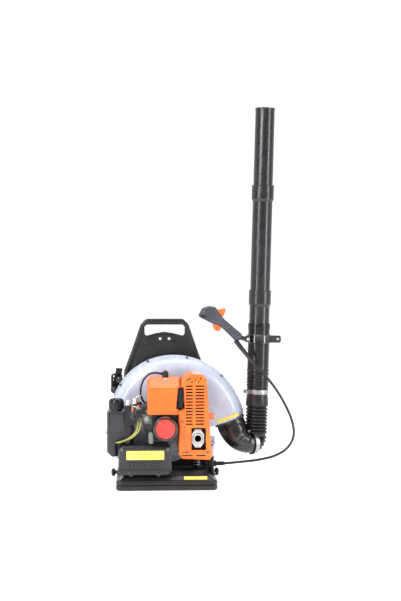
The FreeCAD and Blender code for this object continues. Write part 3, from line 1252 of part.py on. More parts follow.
def muffler_cover():
    """The louvred guard over the muffler, with the window round the exhaust outlet."""
    body = new_body()
    pad(body, outline(new_sketch(body, "XZ_Plane", "-cover_back"), COVER),
        "cover_back - cover_front")
    soften(body, "4", lambda edge: straight(edge, "y"))
    soften(body, "6", lambda edge: level(edge, "y", "cover_front"))
    hollow = outline(new_sketch(body, "XZ_Plane", "-(cover_back + 1)"), COVER_HOLLOW)
    pocket(body, hollow, "cover_back + 1 - cover_front - cover_wall", back=True)
    for left, right in (("56", "76"), ("84", "110")):
        louvre = rectangle(new_sketch(body, "XZ_Plane", "-cover_front"), (left, "louvre_low"),
                           (right, "louvre_low + louvre_tall"))
        first = pocket(body, louvre, "cover_wall + 2")
        repeat_line(body, [first], "Z_Axis", "louvre_pitch", 13)
    window = rectangle(new_sketch(body, "XZ_Plane", "-cover_front"),
                       ("exhaust_x - 20", "exhaust_z - 32"), ("exhaust_x + 23", "exhaust_z + 33"))
    pocket(body, window, "cover_wall + 2")
    lows = new_sketch(body, "XZ_Plane", "-cover_front")
    for low, high in ((("44", "98"), ("76", "102")), (("86", "98"), ("114", "102")),
                      (("44", "108"), ("64", "112"))):
        rectangle(lows, low, high)
    for i in range(6):
        circle(lows, ("52", f"128 + {i} * 11"), "1.8")
    for x, z in ((74, 316), (84, 322), (94, 316), (68, 325), (79, 331), (90, 331), (100, 325)):
        circle(lows, (str(x), str(z)), "2.6")
    pocket(body, lows, "cover_wall + 2")
    side = new_sketch(body, "YZ_Plane", "135")
    rectangle(side, ("-114", "120"), ("-104", "300"))
    first = pocket(body, side, "32")
    repeat_line(body, [first], "Y_Axis", "20", 5)
    ear = block(("122", "cover_front + 22", "204"), ("140", "cover_front + 26", "222"))
    behind = block(("34", "-75", "122"), ("58", "cover_back + 1", "262"))
    ear_hole = rod(("134", "cover_front + 20", "213"), "2.7", "8", "y")
    node(cut(fuse(body, ear), behind, ear_hole), "muffler_cover")


def cylinder_cover():
    body = new_body()
    side = [("hood_back", "hood_low"), ("hood_front", "hood_low"),
            ("hood_front", "hood_shoulder"), ("hood_front + 34", "hood_high"),
            ("hood_back", "hood_high")]
    pad(body, outline(new_sketch(body, "YZ_Plane", "hood_left"), side), "hood_right - hood_left")
    soften(body, "15", lambda edge: straight(edge, "y") and edge.BoundBox.XMax < -50
           and edge.BoundBox.ZMin > 300)
    soften(body, "7", lambda edge: edge.BoundBox.YMax < -60 and edge.BoundBox.ZMin > 225
           or level(edge, "y", "hood_front") and edge.BoundBox.ZMax > 225)
    hollow = [("hood_back + 1", "hood_low - 1"), ("hood_front + 3", "hood_low - 1"),
              ("hood_front + 3", "hood_shoulder - 3"), ("hood_front + 37", "hood_high - 5"),
              ("hood_back + 1", "hood_high - 5")]
    inside = outline(new_sketch(body, "YZ_Plane", "hood_left + 3"), hollow)
    pocket(body, inside, "hood_right - hood_left - 5.5", back=True)
    inlet = rectangle(new_sketch(body, "YZ_Plane", "hood_left - 1"), ("-90", "hood_low - 1"),
                      ("hood_back + 1", "deck + 36"))
    pocket(body, inlet, "8", back=True)
    exhaust = rectangle(new_sketch(body, "YZ_Plane", "hood_right - 4"), ("-78", "hood_low - 1"),
                        ("hood_back + 1", "hood_high - 9"))
    pocket(body, exhaust, "8", back=True)
    cap_hole = circle(new_sketch(body, "XY_Plane", "hood_high + 1"), ("plug_x", "plug_y"), "13")
    pocket(body, cap_hole, "30")
    slot = outline(new_sketch(body, "XZ_Plane", "-(hood_front - 1)"),
                   [("27", "235"), ("33", "298"), ("hood_right + 1", "298"),
                    ("hood_right + 1", "hood_low - 1"), ("34.3", "hood_low - 1"), ("34.3", "235")])
    pocket(body, slot, "hood_back - hood_front + 3")
    node(body, "cylinder_cover")


def heat_shield():
    """The bent plate between cylinder and muffler; its front leg fills the covers' slot."""
    front_leg = block(("34", "-104", "236"), ("49", "-102.5", "296"))
    side_leg = block(("34", "-104", "236"), ("36", "-20", "296"))
    stub = block(("30", "crankcase_split - 17", "deck + 5"),
                 ("40", "crankcase_split + 17", "deck + 29"))
    node(cut(fuse(front_leg, side_leg), stub), "heat_shield")


# ---------------------------------------------------------------------------
# Recoil starter
# ---------------------------------------------------------------------------
def starter():
    front, back = "starter_front", "starter_back"
    drum = fuse(on_crank(front, "starter_radius", back),
                block(("crank_x - 42", "crankcase_front_y - 8", "crank_z - 42"),
                      ("crank_x + 34", "crankcase_front_y - 4.3", "crank_z - 14")))
    drum = rounded(drum, "4", lambda edge: level(edge, "y", front))
    hollow = on_crank("starter_front + starter_wall + 2", "starter_radius - starter_wall",
                      "starter_back + 1")
    post = on_crank("starter_front + 3", "post_radius", "starter_front + 28")
    recess = on_crank("starter_front - 1", "badge_radius + 0.5", "starter_front + 1.4")
    rope_way = rod(("crank_x", "reel_y", "crank_z - reel_groove"), "3.2", "60", "-x")
    nose = cut(rod(("crank_x - 22", "reel_y", "crank_z - reel_groove"), "5.5", "11", "-x"),
               on_crank("starter_front", "starter_radius - 1", back))
    shell = cut(fuse(drum, nose), hollow, recess, rope_way)
    node(fuse(shell, post), "recoil_housing")
    half = "reel_thick / 2"
    reel = cut(fuse(on_crank(f"reel_y - {half}", "reel_radius", f"reel_y - {half} + 2.5"),
                    on_crank(f"reel_y - {half}", "reel_groove - 5", f"reel_y + {half}"),
                    on_crank(f"reel_y + {half} - 2.5", "reel_radius", f"reel_y + {half}")),
               on_crank(f"reel_y - {half} - 1", "post_radius + 0.06", f"reel_y + {half} + 1"))
    node(reel, "starter_reel")
    turns = [ring(("crank_x", f"reel_y + {shift}", "crank_z"), "reel_groove", "rope_radius", "y")
             for shift in (-2.1, 2.1)]
    node(group(*turns), "starter_rope")
    grip = block(("pull_left", "reel_y - 7", "pull_low"), ("pull_right", "reel_y + 7", "pull_high"))
    grip = rounded(grip, "4", lambda edge: straight(edge, "z"))
    node(cut(grip, rod(("pull_right + 1", "reel_y", "crank_z - reel_groove"), "2.4", "9", "-x")),
         "pull_handle")


def screws():
    """The machine screws that close the casing and hold the covers on."""
    items = []
    for turn in (60, 95, 130, 165, 200, 232):
        spot = spiral_point(turn, 3.6, 0)
        items.append(fuse(rod((f"{spot.x:.2f}", "seam - flange_thick - 3", f"{spot.z:.2f}"), "3.8",
                              "2.8", "y"),
                          rod((f"{spot.x:.2f}", "seam - flange_thick - 3", f"{spot.z:.2f}"), "2",
                              "12", "y")))
    for x in ("cleaner_left + 11", "cleaner_right - 11"):
        items.append(fuse(rod((x, "cleaner_front - 3", "cleaner_high - 9"), "4.5", "3", "y"),
                          rod((x, "cleaner_front - 3", "cleaner_high - 9"), "2.2", "88", "y")))
    for x, z in (("60", "322"), ("120", "110"), ("44", "200")):
        items.append(rod((x, "cover_front - 2", z), "4", "2", "y"))
    node(group(*items), "cover_screws")


back_frame()
springs()
harness()
fan_casing()
fan()
elbow()
bellows()
band_clamps()
pipes()
handle_clamp()
grip_parts()
throttle_cable()
crankcase()
crank_train()
cylinder()
ignition()
carburettor()
air_cleaner()
fuel()
muffler()
muffler_cover()
cylinder_cover()
heat_shield()
starter()
screws()

# ---------------------------------------------------------------------------
# Check every object, then write each sub-part
# ---------------------------------------------------------------------------
doc.recompute()
faults = [item.Name for item in doc.Objects if {"Invalid", "Error"} & set(item.State)]
if faults:
    raise ValueError(f"objects that failed: {faults}")
os.makedirs("parts", exist_ok=True)
for item in nodes:
    shape = item.Shape
    if shape.isNull() or not shape.isValid() or not shape.Solids:
        raise ValueError(f"{item.Label} has no valid solid")
    shape.exportStep(f"parts/{item.Label}.step")
print(f"{len(nodes)} sub-parts written")
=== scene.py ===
import json
import math

import bmesh
import bpy
from mathutils import Matrix, Vector


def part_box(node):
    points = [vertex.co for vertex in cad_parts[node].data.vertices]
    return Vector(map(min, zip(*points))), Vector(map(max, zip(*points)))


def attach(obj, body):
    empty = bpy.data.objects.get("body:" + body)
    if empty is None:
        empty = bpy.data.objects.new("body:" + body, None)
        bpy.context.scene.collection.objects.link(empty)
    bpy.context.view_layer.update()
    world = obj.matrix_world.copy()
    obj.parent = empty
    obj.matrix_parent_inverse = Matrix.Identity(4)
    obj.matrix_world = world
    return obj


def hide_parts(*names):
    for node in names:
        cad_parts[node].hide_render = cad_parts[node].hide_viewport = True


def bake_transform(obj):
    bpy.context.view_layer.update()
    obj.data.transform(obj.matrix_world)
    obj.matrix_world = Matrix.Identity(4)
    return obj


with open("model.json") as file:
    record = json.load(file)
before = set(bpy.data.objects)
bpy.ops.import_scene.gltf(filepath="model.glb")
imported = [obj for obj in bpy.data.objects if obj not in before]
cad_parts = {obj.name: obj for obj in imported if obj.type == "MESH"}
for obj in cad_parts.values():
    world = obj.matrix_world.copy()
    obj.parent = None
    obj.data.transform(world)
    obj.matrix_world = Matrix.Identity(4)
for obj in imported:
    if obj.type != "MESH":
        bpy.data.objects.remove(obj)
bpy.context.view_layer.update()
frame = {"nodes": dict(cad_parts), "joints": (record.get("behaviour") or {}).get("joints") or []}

MM = 0.001
nodes = frame["nodes"]
joints = {joint["name"]: joint for joint in frame["joints"]}
materials = {}


# ---------------------------------------------------------------------------
# Camera, floor and light
# ---------------------------------------------------------------------------
def camera():
    """A long lens a little to the left of the machine and just above its middle."""
    data = bpy.data.cameras.new("camera")
    data.lens, data.sensor_width = 74.9, 36
    data.clip_end = 30
    view = bpy.data.objects.new("camera", data)
    bpy.context.collection.objects.link(view)
    view.location = (-0.0924, -3.7765, 0.6376)
    yaw, pitch = math.radians(3), math.radians(1.306)
    look = Vector((math.sin(yaw) * math.cos(pitch), math.cos(yaw) * math.cos(pitch),
                   -math.sin(pitch)))
    view.rotation_euler = look.to_track_quat("-Z", "Y").to_euler()
    bpy.context.scene.camera = view


def softbox(name, place, aim, wide, tall, power, colour=(1, 1, 1)):
    data = bpy.data.lights.new(name, "AREA")
    data.shape = "RECTANGLE"
    data.size, data.size_y = wide, tall
    data.energy, data.color = power, colour
    lamp = bpy.data.objects.new(name, data)
    bpy.context.collection.objects.link(lamp)
    lamp.location = place
    lamp.rotation_euler = (Vector(aim) - Vector(place)).to_track_quat("-Z", "Y").to_euler()


def studio():
    """A pale floor, a white surround and three softboxes."""
    mesh = bpy.data.meshes.new("floor")
    half = 14
    mesh.from_pydata([(-half, -half, 0), (half, -half, 0), (half, half, 0), (-half, half, 0)],
                     [], [(0, 1, 2, 3)])
    floor = bpy.data.objects.new("floor", mesh)
    bpy.context.collection.objects.link(floor)
    paint = bpy.data.materials.new("floor")
    paint.use_nodes = True
    shader = paint.node_tree.nodes["Principled BSDF"]
    shader.inputs["Base Color"].default_value = (0.93, 0.93, 0.93, 1)
    shader.inputs["Roughness"].default_value = 0.65
    shader.inputs["Specular IOR Level"].default_value = 0.2
    shader.inputs["Emission Color"].default_value = (1, 1, 1, 1)
    shader.inputs["Emission Strength"].default_value = 0.38
    mesh.materials.append(paint)
    world = bpy.context.scene.world or bpy.data.worlds.new("studio")
    bpy.context.scene.world = world
    world.use_nodes = True
    tree = world.node_tree
    where = tree.nodes.new("ShaderNodeTexCoord")
    split = tree.nodes.new("ShaderNodeSeparateXYZ")
    fade = tree.nodes.new("ShaderNodeMapRange")
    for socket, value in (("From Min", -0.4), ("From Max", 0.5), ("To Min", 0.36),
                          ("To Max", 1.04)):
        fade.inputs[socket].default_value = value
    tree.links.new(where.outputs["Generated"], split.inputs["Vector"])
    tree.links.new(split.outputs["Y"], fade.inputs["Value"])
    tree.links.new(fade.outputs["Result"], tree.nodes["Background"].inputs["Strength"])
    tree.nodes["Background"].inputs["Color"].default_value = (1, 1, 1, 1)
    softbox("key", (-1.7, -2.4, 2.1), (0, 0, 0.35), 0.9, 1.5, 66)
    softbox("left_strip", (-1.9, -1.9, 0.9), (0.1, 0, 0.6), 0.34, 2.5, 30)
    softbox("right_strip", (2.2, -1.4, 1.0), (0.2, 0, 0.6), 0.42, 2.5, 38)
    softbox("top", (0.1, 0.2, 2.9), (0.1, 0, 0.3), 1.8, 1.8, 34)
    softbox("back", (0.6, 2.8, 1.9), (0.1, 0, 0.4), 1.4, 1.4, 26)


# ---------------------------------------------------------------------------
# Mesh helpers, in millimetres
# ---------------------------------------------------------------------------
def piece(name, mesh, body, paint, stands_for=()):
    """Put a mesh, built in metres, in the scene as a finished piece that rides on a body."""
    thing = bpy.data.objects.new(name, mesh)
    bpy.context.collection.objects.link(thing)
    mesh.materials.clear()
    mesh.materials.append(materials[paint])
    if body:
        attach(thing, body)
        even = thing.modifiers.new("even_normals", "WEIGHTED_NORMAL")
        even.keep_sharp = True
    if stands_for:
        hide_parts(*stands_for)
    return thing


def finished(bm, name, smooth=35, weld=1e-6):
    """The bmesh as a mesh with its normals outward and its edges sharp above an angle."""
    bmesh.ops.remove_doubles(bm, verts=bm.verts, dist=weld)
    bmesh.ops.recalc_face_normals(bm, faces=bm.faces)
    mesh = bpy.data.meshes.new(name)
    bm.to_mesh(mesh)
    bm.free()
    mesh.shade_smooth()
    mesh.set_sharp_from_angle(angle=math.radians(smooth))
    return mesh


def ring_strip(bm, low, high):
    """Join two equal rings of vertices with quads."""
    count = len(low)
    for i in range(count):
        bm.faces.new((low[i], low[(i + 1) % count], high[(i + 1) % count], high[i]))


def lathe(bm, profile, place=Matrix.Identity(4), segments=96, closed=True):
    """Turn a profile of (radius, height) points in millimetres round the Z axis."""
    rings = []
    for radius, height in profile:
        rings.append([bm.verts.new(place @ Vector((radius * math.cos(a) * MM,
                                                   radius * math.sin(a) * MM,
                                                   height * MM)))
                      for a in (math.tau * i / segments for i in range(segments))])
    pairs = list(zip(rings, rings[1:]))
    if closed:
        pairs.append((rings[-1], rings[0]))
    for low, high in pairs:
        ring_strip(bm, low, high)
    if not closed:
        bm.faces.new(rings[0][::-1])
        bm.faces.new(rings[-1])


def prism(bm, outline, low, high, place=Matrix.Identity(4)):
    """A solid with its outline in X and Z, from low to high along Y."""
    near = [bm.verts.new(place @ Vector((x * MM, low * MM, z * MM))) for x, z in outline]
    far = [bm.verts.new(place @ Vector((x * MM, high * MM, z * MM))) for x, z in outline]
    ring_strip(bm, near, far)
    bm.faces.new(near[::-1])
    bm.faces.new(far)


def block(bm, low, high, place=Matrix.Identity(4)):
    (x0, y0, z0), (x1, y1, z1) = low, high
    prism(bm, [(x0, z0), (x1, z0), (x1, z1), (x0, z1)], y0, y1, place)


def rounded_box(low, high, radius, steps=5):
    """A rectangle's outline with round corners, in any two axes."""
    (u0, v0), (u1, v1) = low, high
    points = []
    for cu, cv, start in ((u1 - radius, v0 + radius, -90), (u1 - radius, v1 - radius, 0),
                          (u0 + radius, v1 - radius, 90), (u0 + radius, v0 + radius, 180)):
        for i in range(steps + 1):
            angle = math.radians(start + 90 * i / steps)
            points.append((cu + radius * math.cos(angle), cv + radius * math.sin(angle)))
    return points


def turned(axis, at):
    """A placement whose local Z runs along axis, at a point in millimetres."""
    turn = Vector((0, 0, 1)).rotation_difference(Vector(axis)).to_matrix().to_4x4()
    return Matrix.Translation(Vector(at) * MM) @ turn


# ---------------------------------------------------------------------------
# Materials
# ---------------------------------------------------------------------------
class Paint:
    """A small node-graph builder round one Principled shader."""

    def __init__(self, name, roughness=0.5, metallic=0.0, level=0.5, coat=0.0, coat_rough=0.1,
                 sheen=0.0):
        material = bpy.data.materials.new(name)
        material.use_nodes = True
        self.tree = material.node_tree
        self.shader = self.tree.nodes["Principled BSDF"]
        values = {"Roughness": roughness, "Metallic": metallic, "Specular IOR Level": level,
                  "Coat Weight": coat, "Coat Roughness": coat_rough, "Sheen Weight": sheen}
        for socket, value in values.items():
            self.shader.inputs[socket].default_value = value
        self.coordinates = self.new("ShaderNodeTexCoord").outputs["Object"]
        materials[name] = material

    def new(self, kind, **settings):
        made = self.tree.nodes.new(kind)
        for key, value in settings.items():
            setattr(made, key, value)
        return made

    def link(self, source, target):
        self.tree.links.new(source, target)
        return source

    def noise(self, scale, detail=4.0, rough=0.55, stretch=None):
        texture = self.new("ShaderNodeTexNoise")
        texture.inputs["Scale"].default_value = scale
        texture.inputs["Detail"].default_value = detail
        texture.inputs["Roughness"].default_value = rough
        where = self.coordinates
        if stretch:
            mapping = self.new("ShaderNodeMapping")
            mapping.inputs["Scale"].default_value = stretch
            self.link(where, mapping.inputs["Vector"])
            where = mapping.outputs["Vector"]
        self.link(where, texture.inputs["Vector"])
        return texture.outputs["Fac"]

    def span(self, source, low, high, from_low=0.35, from_high=0.65):
        """Stretch a 0..1 signal to a range of numbers."""
        node = self.new("ShaderNodeMapRange")
        for socket, value in (("From Min", from_low), ("From Max", from_high), ("To Min", low),
                              ("To Max", high)):
            node.inputs[socket].default_value = value
        self.link(source, node.inputs["Value"])
        return node.outputs["Result"]

    def mix(self, factor, first, second):
        node = self.new("ShaderNodeMix", data_type="RGBA")
        self.link(factor, node.inputs["Factor"])
        for socket, value in (("A", first), ("B", second)):
            target = [s for s in node.inputs if s.name == socket and s.type == "RGBA"][0]
            if isinstance(value, tuple):
                target.default_value = (*value, 1)
            else:
                self.link(value, target)
        return [s for s in node.outputs if s.type == "RGBA"][0]

    def worn(self, radius):
        """How much an edge stands out, 0 on a flat and 1 at a sharp edge."""
        bevel = self.new("ShaderNodeBevel", samples=6)
        bevel.inputs["Radius"].default_value = radius
        plain = self.new("ShaderNodeNewGeometry").outputs["Normal"]
        dot = self.new("ShaderNodeVectorMath", operation="DOT_PRODUCT")
        self.link(bevel.outputs["Normal"], dot.inputs[0])
        self.link(plain, dot.inputs[1])
        return self.span(dot.outputs["Value"], 1.0, 0.0, 0.75, 0.995)

    def bump(self, height, strength, distance=0.0006, edge=None):
        """Grain from a height signal, over edges rounded by a radius."""
        node = self.new("ShaderNodeBump")
        node.inputs["Strength"].default_value = strength
        node.inputs["Distance"].default_value = distance
        self.link(height, node.inputs["Height"])
        if edge:
            bevel = self.new("ShaderNodeBevel", samples=6)
            bevel.inputs["Radius"].default_value = edge
            self.link(bevel.outputs["Normal"], node.inputs["Normal"])
        self.link(node.outputs["Normal"], self.shader.inputs["Normal"])

    def colour(self, source):
        self.link(source, self.shader.inputs["Base Color"])

    def roughness(self, source):
        self.link(source, self.shader.inputs["Roughness"])


def moulded(name, dark, light, rough, grain=900, depth=0.12, edge=0.0012, wear=None, coat=0.0,
            level=0.5):
    """Moulded plastic: two close tones, fine grain, and worn edges or, with no edge, scuffs."""
    paint = Paint(name, level=level, coat=coat)
    tone = paint.mix(paint.span(paint.noise(14, 5), 0, 1), dark, light)
    rubbed = wear or tuple(min(1, 1.5 * c + 0.02) for c in light)
    if edge:
        paint.colour(paint.mix(paint.worn(edge), tone, rubbed))
    else:
        scuff = paint.noise(40, 4, 0.6, (1, 1, 0.1))
        paint.colour(paint.mix(paint.span(scuff, 0, 0.3, 0.6, 0.85), tone, rubbed))
    paint.roughness(paint.span(paint.noise(55, 6), rough - 0.05, rough + 0.08))
    paint.bump(paint.noise(grain, 3), depth, edge=edge)
    return paint


def metal(name, dark, light, rough, scale=400, stretch=None, depth=0.1, edge=0.0008):
    """Bare metal with fine marks and a slightly uneven shine."""
    paint = Paint(name, metallic=1.0)
    paint.colour(paint.mix(paint.span(paint.noise(40, 6), 0, 1), dark, light))
    paint.roughness(paint.span(paint.noise(120, 5), rough - 0.08, rough + 0.12))
    paint.bump(paint.noise(scale, 4, stretch=stretch), depth, edge=edge)
    return paint


def woven(name, dark, light, pitch, rough=0.85):
    """Webbing or pad cloth: two crossed sets of threads."""
    paint = Paint(name, level=0.3, sheen=0.35)
    waves = []
    for direction in ("X", "Z"):
        wave = paint.new("ShaderNodeTexWave", wave_type="BANDS", bands_direction=direction)
        wave.inputs["Scale"].default_value = pitch
        wave.inputs["Distortion"].default_value = 0.4
        paint.link(paint.coordinates, wave.inputs["Vector"])
        waves.append(wave.outputs["Fac"])
    both = paint.new("ShaderNodeMath", operation="MULTIPLY")
    paint.link(waves[0], both.inputs[0])
    paint.link(waves[1], both.inputs[1])
    cloth = paint.mix(both.outputs["Value"], dark, light)
    paint.colour(paint.mix(paint.span(paint.noise(20, 4), 0, 0.4), cloth, dark))
    paint.roughness(paint.span(paint.noise(200, 3), rough - 0.05, rough + 0.1))
    paint.bump(both.outputs["Value"], 0.5, 0.0005)
    return paint


def make_materials():
    moulded("frame_plastic", (0.007, 0.006, 0.006), (0.015, 0.013, 0.013), 0.33, 700, 0.16, 0.002,
            wear=(0.035, 0.032, 0.032), level=0.4, coat=0.25)
    moulded("black_plastic", (0.004, 0.004, 0.005), (0.010, 0.009, 0.011), 0.22, 500, 0.05, 0.001,
            wear=(0.03, 0.029, 0.031), level=0.4)
    moulded("gloss_black", (0.004, 0.004, 0.005), (0.008, 0.008, 0.009), 0.12, 300, 0.02, None,
            wear=(0.03, 0.03, 0.032), coat=0.8, level=0.6)
    moulded("pipe_plastic", (0.006, 0.006, 0.008), (0.012, 0.011, 0.015), 0.26, 350, 0.02, None,
            wear=(0.05, 0.05, 0.056), level=0.65)
    moulded("elbow_plastic", (0.010, 0.010, 0.012), (0.020, 0.019, 0.022), 0.24, 420, 0.02, None,
            wear=(0.06, 0.06, 0.065), level=0.65)
    moulded("orange_plastic", (0.80, 0.125, 0.008), (0.90, 0.175, 0.014), 0.34, 800, 0.07, 0.0014,
            wear=(1.0, 0.33, 0.09), coat=0.12)
    moulded("lever_plastic", (0.86, 0.13, 0.02), (0.95, 0.17, 0.03), 0.36, 900, 0.06, 0.0008,
            wear=(1.0, 0.3, 0.1))
    moulded("grip_plastic", (0.036, 0.040, 0.054), (0.056, 0.061, 0.080), 0.42, 1200, 0.2, 0.001,
            wear=(0.13, 0.14, 0.17))
    moulded("tank_plastic", (0.013, 0.014, 0.018), (0.026, 0.027, 0.034), 0.3, 300, 0.1, 0.002,
            wear=(0.06, 0.062, 0.07), coat=0.2)
    moulded("cleaner_plastic", (0.006, 0.006, 0.008), (0.014, 0.013, 0.017), 0.26, 600, 0.08,
            0.0012,
            wear=(0.06, 0.058, 0.066), coat=0.2)
    moulded("pull_plastic", (0.16, 0.18, 0.15), (0.24, 0.26, 0.21), 0.5, 900, 0.1, 0.0008)
    moulded("black_rubber", (0.005, 0.005, 0.005), (0.011, 0.010, 0.011), 0.3, 600, 0.06, None,
            wear=(0.045, 0.044, 0.048))
    moulded("cable_rubber", (0.012, 0.012, 0.013), (0.022, 0.021, 0.024), 0.34, 500, 0.06, None)
    moulded("badge_red", (0.70, 0.022, 0.014), (0.84, 0.05, 0.030), 0.3, 500, 0.04, None, coat=0.4)
    moulded("porcelain", (0.8, 0.79, 0.75), (0.88, 0.87, 0.84), 0.2, 200, 0.02)
    moulded("label_yellow", (0.80, 0.66, 0.09), (0.88, 0.76, 0.15), 0.42, 800, 0.03, None)
    moulded("foam", (0.05, 0.05, 0.04), (0.11, 0.11, 0.09), 0.95, 500, 0.8)
    metal("dark_zinc", (0.12, 0.11, 0.10), (0.24, 0.22, 0.2), 0.4, 500)
    metal("burnt_steel", (0.035, 0.022, 0.018), (0.11, 0.06, 0.045), 0.6, 300, depth=0.4)
    metal("zinc", (0.27, 0.27, 0.29), (0.48, 0.48, 0.50), 0.32, 500, (1, 1, 12))
    metal("chrome_plate", (0.55, 0.55, 0.57), (0.8, 0.8, 0.82), 0.16, 200, depth=0.05)
    metal("cast_alloy", (0.10, 0.105, 0.11), (0.22, 0.225, 0.23), 0.42, 700, depth=0.45)
    metal("spring_steel", (0.35, 0.35, 0.36), (0.55, 0.55, 0.56), 0.35, 500)
    metal("exhaust_steel", (0.5, 0.49, 0.48), (0.78, 0.76, 0.74), 0.3, 300, depth=0.15)
    metal("copper_wash", (0.55, 0.22, 0.13), (0.75, 0.34, 0.22), 0.35, 300)
    woven("webbing", (0.008, 0.008, 0.009), (0.03, 0.03, 0.032), 160)
    woven("pad_cloth", (0.010, 0.010, 0.012), (0.045, 0.046, 0.05), 110)
    hose = moulded("hose_rubber", (0.30, 0.29, 0.05), (0.46, 0.44, 0.10), 0.25, 200, 0.03)
    hose.shader.inputs["Transmission Weight"].default_value = 0.25
    bulb = moulded("bulb_rubber", (0.55, 0.58, 0.5), (0.7, 0.72, 0.64), 0.2, 200, 0.02)
    bulb.shader.inputs["Transmission Weight"].default_value = 0.5
    casing = moulded("volute_plastic", (0.46, 0.50, 0.63), (0.56, 0.595, 0.715), 0.24, 260, 0.03,
                     None, wear=(0.66, 0.69, 0.79), coat=0.3)
    casing.shader.inputs["Subsurface Weight"].default_value = 0.12
    casing.shader.inputs["Subsurface Radius"].default_value = (0.02, 0.02, 0.025)
    dark = moulded("dark_inside", (0.004, 0.004, 0.004), (0.008, 0.008, 0.008), 0.7)
    dark.shader.inputs["Specular IOR Level"].default_value = 0.1


NODE_PAINT = {
    "frame_plastic": ["back_frame"],
    # The heat shield is a dark plate in the slot between the cylinder cover and the muffler cover;
    # its black is partly painted shade for that slot.
    "black_plastic": ["spring_seats", "strap_buckles", "intake_grille", "cable_gland",
                      "ignition_coil", "handle_clamp", "clamp_bolt", "recoil_housing",
                      "starter_reel", "fan", "fuel_cap", "swivel_pipe", "heat_shield",
                      "choke_lever", "intake_duct"],
    "pipe_plastic": ["straight_pipe_1", "straight_pipe_2", "nozzle_pipe"],
    "elbow_plastic": ["elbow_pipe"],
    "cleaner_plastic": ["air_cleaner_cover", "air_cleaner_base"],
    "volute_plastic": ["fan_case_front", "fan_case_rear"],
    "orange_plastic": ["muffler_cover", "cylinder_cover"],
    "lever_plastic": ["trigger", "cruise_lever"],
    "grip_plastic": ["grip_front_shell", "grip_rear_shell"],
    "tank_plastic": ["fuel_tank"],
    "black_rubber": ["bellows", "plug_cap", "ignition_lead", "throttle_cable"],
    "hose_rubber": ["fuel_hoses"],
    "bulb_rubber": ["primer_bulb"],
    "pull_plastic": ["pull_handle"],
    "porcelain": ["spark_plug"],
    "foam": ["filter_element"],
    "zinc": ["band_clamps", "crank_bearings", "rod_pins", "crankshaft", "connecting_rod"],
    "dark_zinc": ["cover_screws", "grip_fasteners"],
    "spring_steel": ["vibration_springs"],
    "burnt_steel": ["muffler"],
    "exhaust_steel": ["exhaust_outlet"],
    "cast_alloy": ["crankcase_front", "crankcase_rear", "cylinder", "piston", "flywheel",
                   "carburetor"],
    "webbing": ["shoulder_strap_left", "shoulder_strap_right", "starter_rope"],
    "pad_cloth": ["back_pad"],
}


def dress_nodes():
    """Give every CAD node its material and smooth its round faces."""
    for paint, names in NODE_PAINT.items():
        for name in names:
            mesh = nodes[name].data
            mesh.shade_smooth()
            mesh.set_sharp_from_angle(angle=math.radians(32))
            for held in nodes[name].material_slots:
                held.material = materials[paint]


# ---------------------------------------------------------------------------
# Throttle cable
# ---------------------------------------------------------------------------
CABLE_ROUTE = [(0.2185, 0.020, 0.4225), (0.231, 0.014, 0.405), (0.254, -0.002, 0.377),
               (0.287, -0.020, 0.340), (0.325, -0.026, 0.296), (0.358, -0.028, 0.243),
               (0.382, -0.028, 0.190), (0.389, -0.028, 0.144), (0.370, -0.029, 0.106),
               (0.332, -0.031, 0.083), (0.284, -0.033, 0.072), (0.228, -0.034, 0.066),
               (0.177, -0.034, 0.062)]
CABLE_RADIUS = 0.004


def route_line(name, route, steps=24):
    """The points along a route's smooth NURBS line."""
    curve = bpy.data.curves.new(name, "CURVE")
    curve.dimensions = "3D"
    spline = curve.splines.new("NURBS")
    spline.points.add(len(route) - 1)
    for point, place in zip(spline.points, route):
        point.co = (*place, 1)
    spline.order_u = 3
    spline.use_endpoint_u = True
    spline.resolution_u = steps
    holder = bpy.data.objects.new(name, curve)
    bpy.context.collection.objects.link(holder)
    mesh = bpy.data.meshes.new_from_object(holder.evaluated_get(
        bpy.context.evaluated_depsgraph_get()))
    line = [Vector(vertex.co) for vertex in mesh.vertices]
    bpy.data.objects.remove(holder)
    return line


def hose_mesh(name, line, radius_at, segments=24):
    """A round tube along a line; radius_at gives its radius from the part of its length."""
    bm = bmesh.new()
    rings = []
    side = Vector((0, 1, 0))
    for i, place in enumerate(line):
        ahead = line[min(i + 1, len(line) - 1)] - line[max(i - 1, 0)]
        ahead.normalize()
        side = (side - ahead * side.dot(ahead)).normalized()
        across = ahead.cross(side)
        radius = radius_at(i / (len(line) - 1))
        rings.append([bm.verts.new(place + (side * math.cos(a) + across * math.sin(a)) * radius)
                      for a in (math.tau * k / segments for k in range(segments))])
    for low, high in zip(rings, rings[1:]):
        ring_strip(bm, low, high)
    bm.faces.new(rings[0][::-1])
    bm.faces.new(rings[-1])
    return finished(bm, name)


def throttle_cable():
    line = route_line("cable_line", CABLE_ROUTE)
    mesh = hose_mesh("throttle_cable_sleeve", line, lambda part: CABLE_RADIUS)
    sleeve = piece("throttle_cable_sleeve", mesh, None, "cable_rubber",
                   ["throttle_cable"])
    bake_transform(sleeve)
    start = line[0] + (line[0] - line[1]).normalized() * 0.008
    relief = hose_mesh("cable_strain_relief", [start] + line[:60],
                       lambda part: CABLE_RADIUS + 0.0032 - 0.0022 * part)
    boot = piece("cable_strain_relief", relief, "tube", "black_rubber")


# ---------------------------------------------------------------------------
# Rounded plates: an outline with holes, given thickness and a round edge
# ---------------------------------------------------------------------------
def smooth_outline(points, radius, steps=6):
    """Round an outline's corners, each by the given radius or less where its sides are short."""
    result = []
    count = len(points)
    for i in range(count):
        here = Vector(points[i])
        back, ahead = Vector(points[i - 1]) - here, Vector(points[(i + 1) % count]) - here
        turn = math.pi - back.angle(ahead)
        reach = min(radius * math.tan(turn / 2), 0.45 * back.length, 0.45 * ahead.length)
        start, end = here + back.normalized() * reach, here + ahead.normalized() * reach
        for k in range(steps + 1):
            t = k / steps
            result.append(tuple(start * (1 - t) ** 2 + here * 2 * t * (1 - t) + end * t ** 2))
    return result


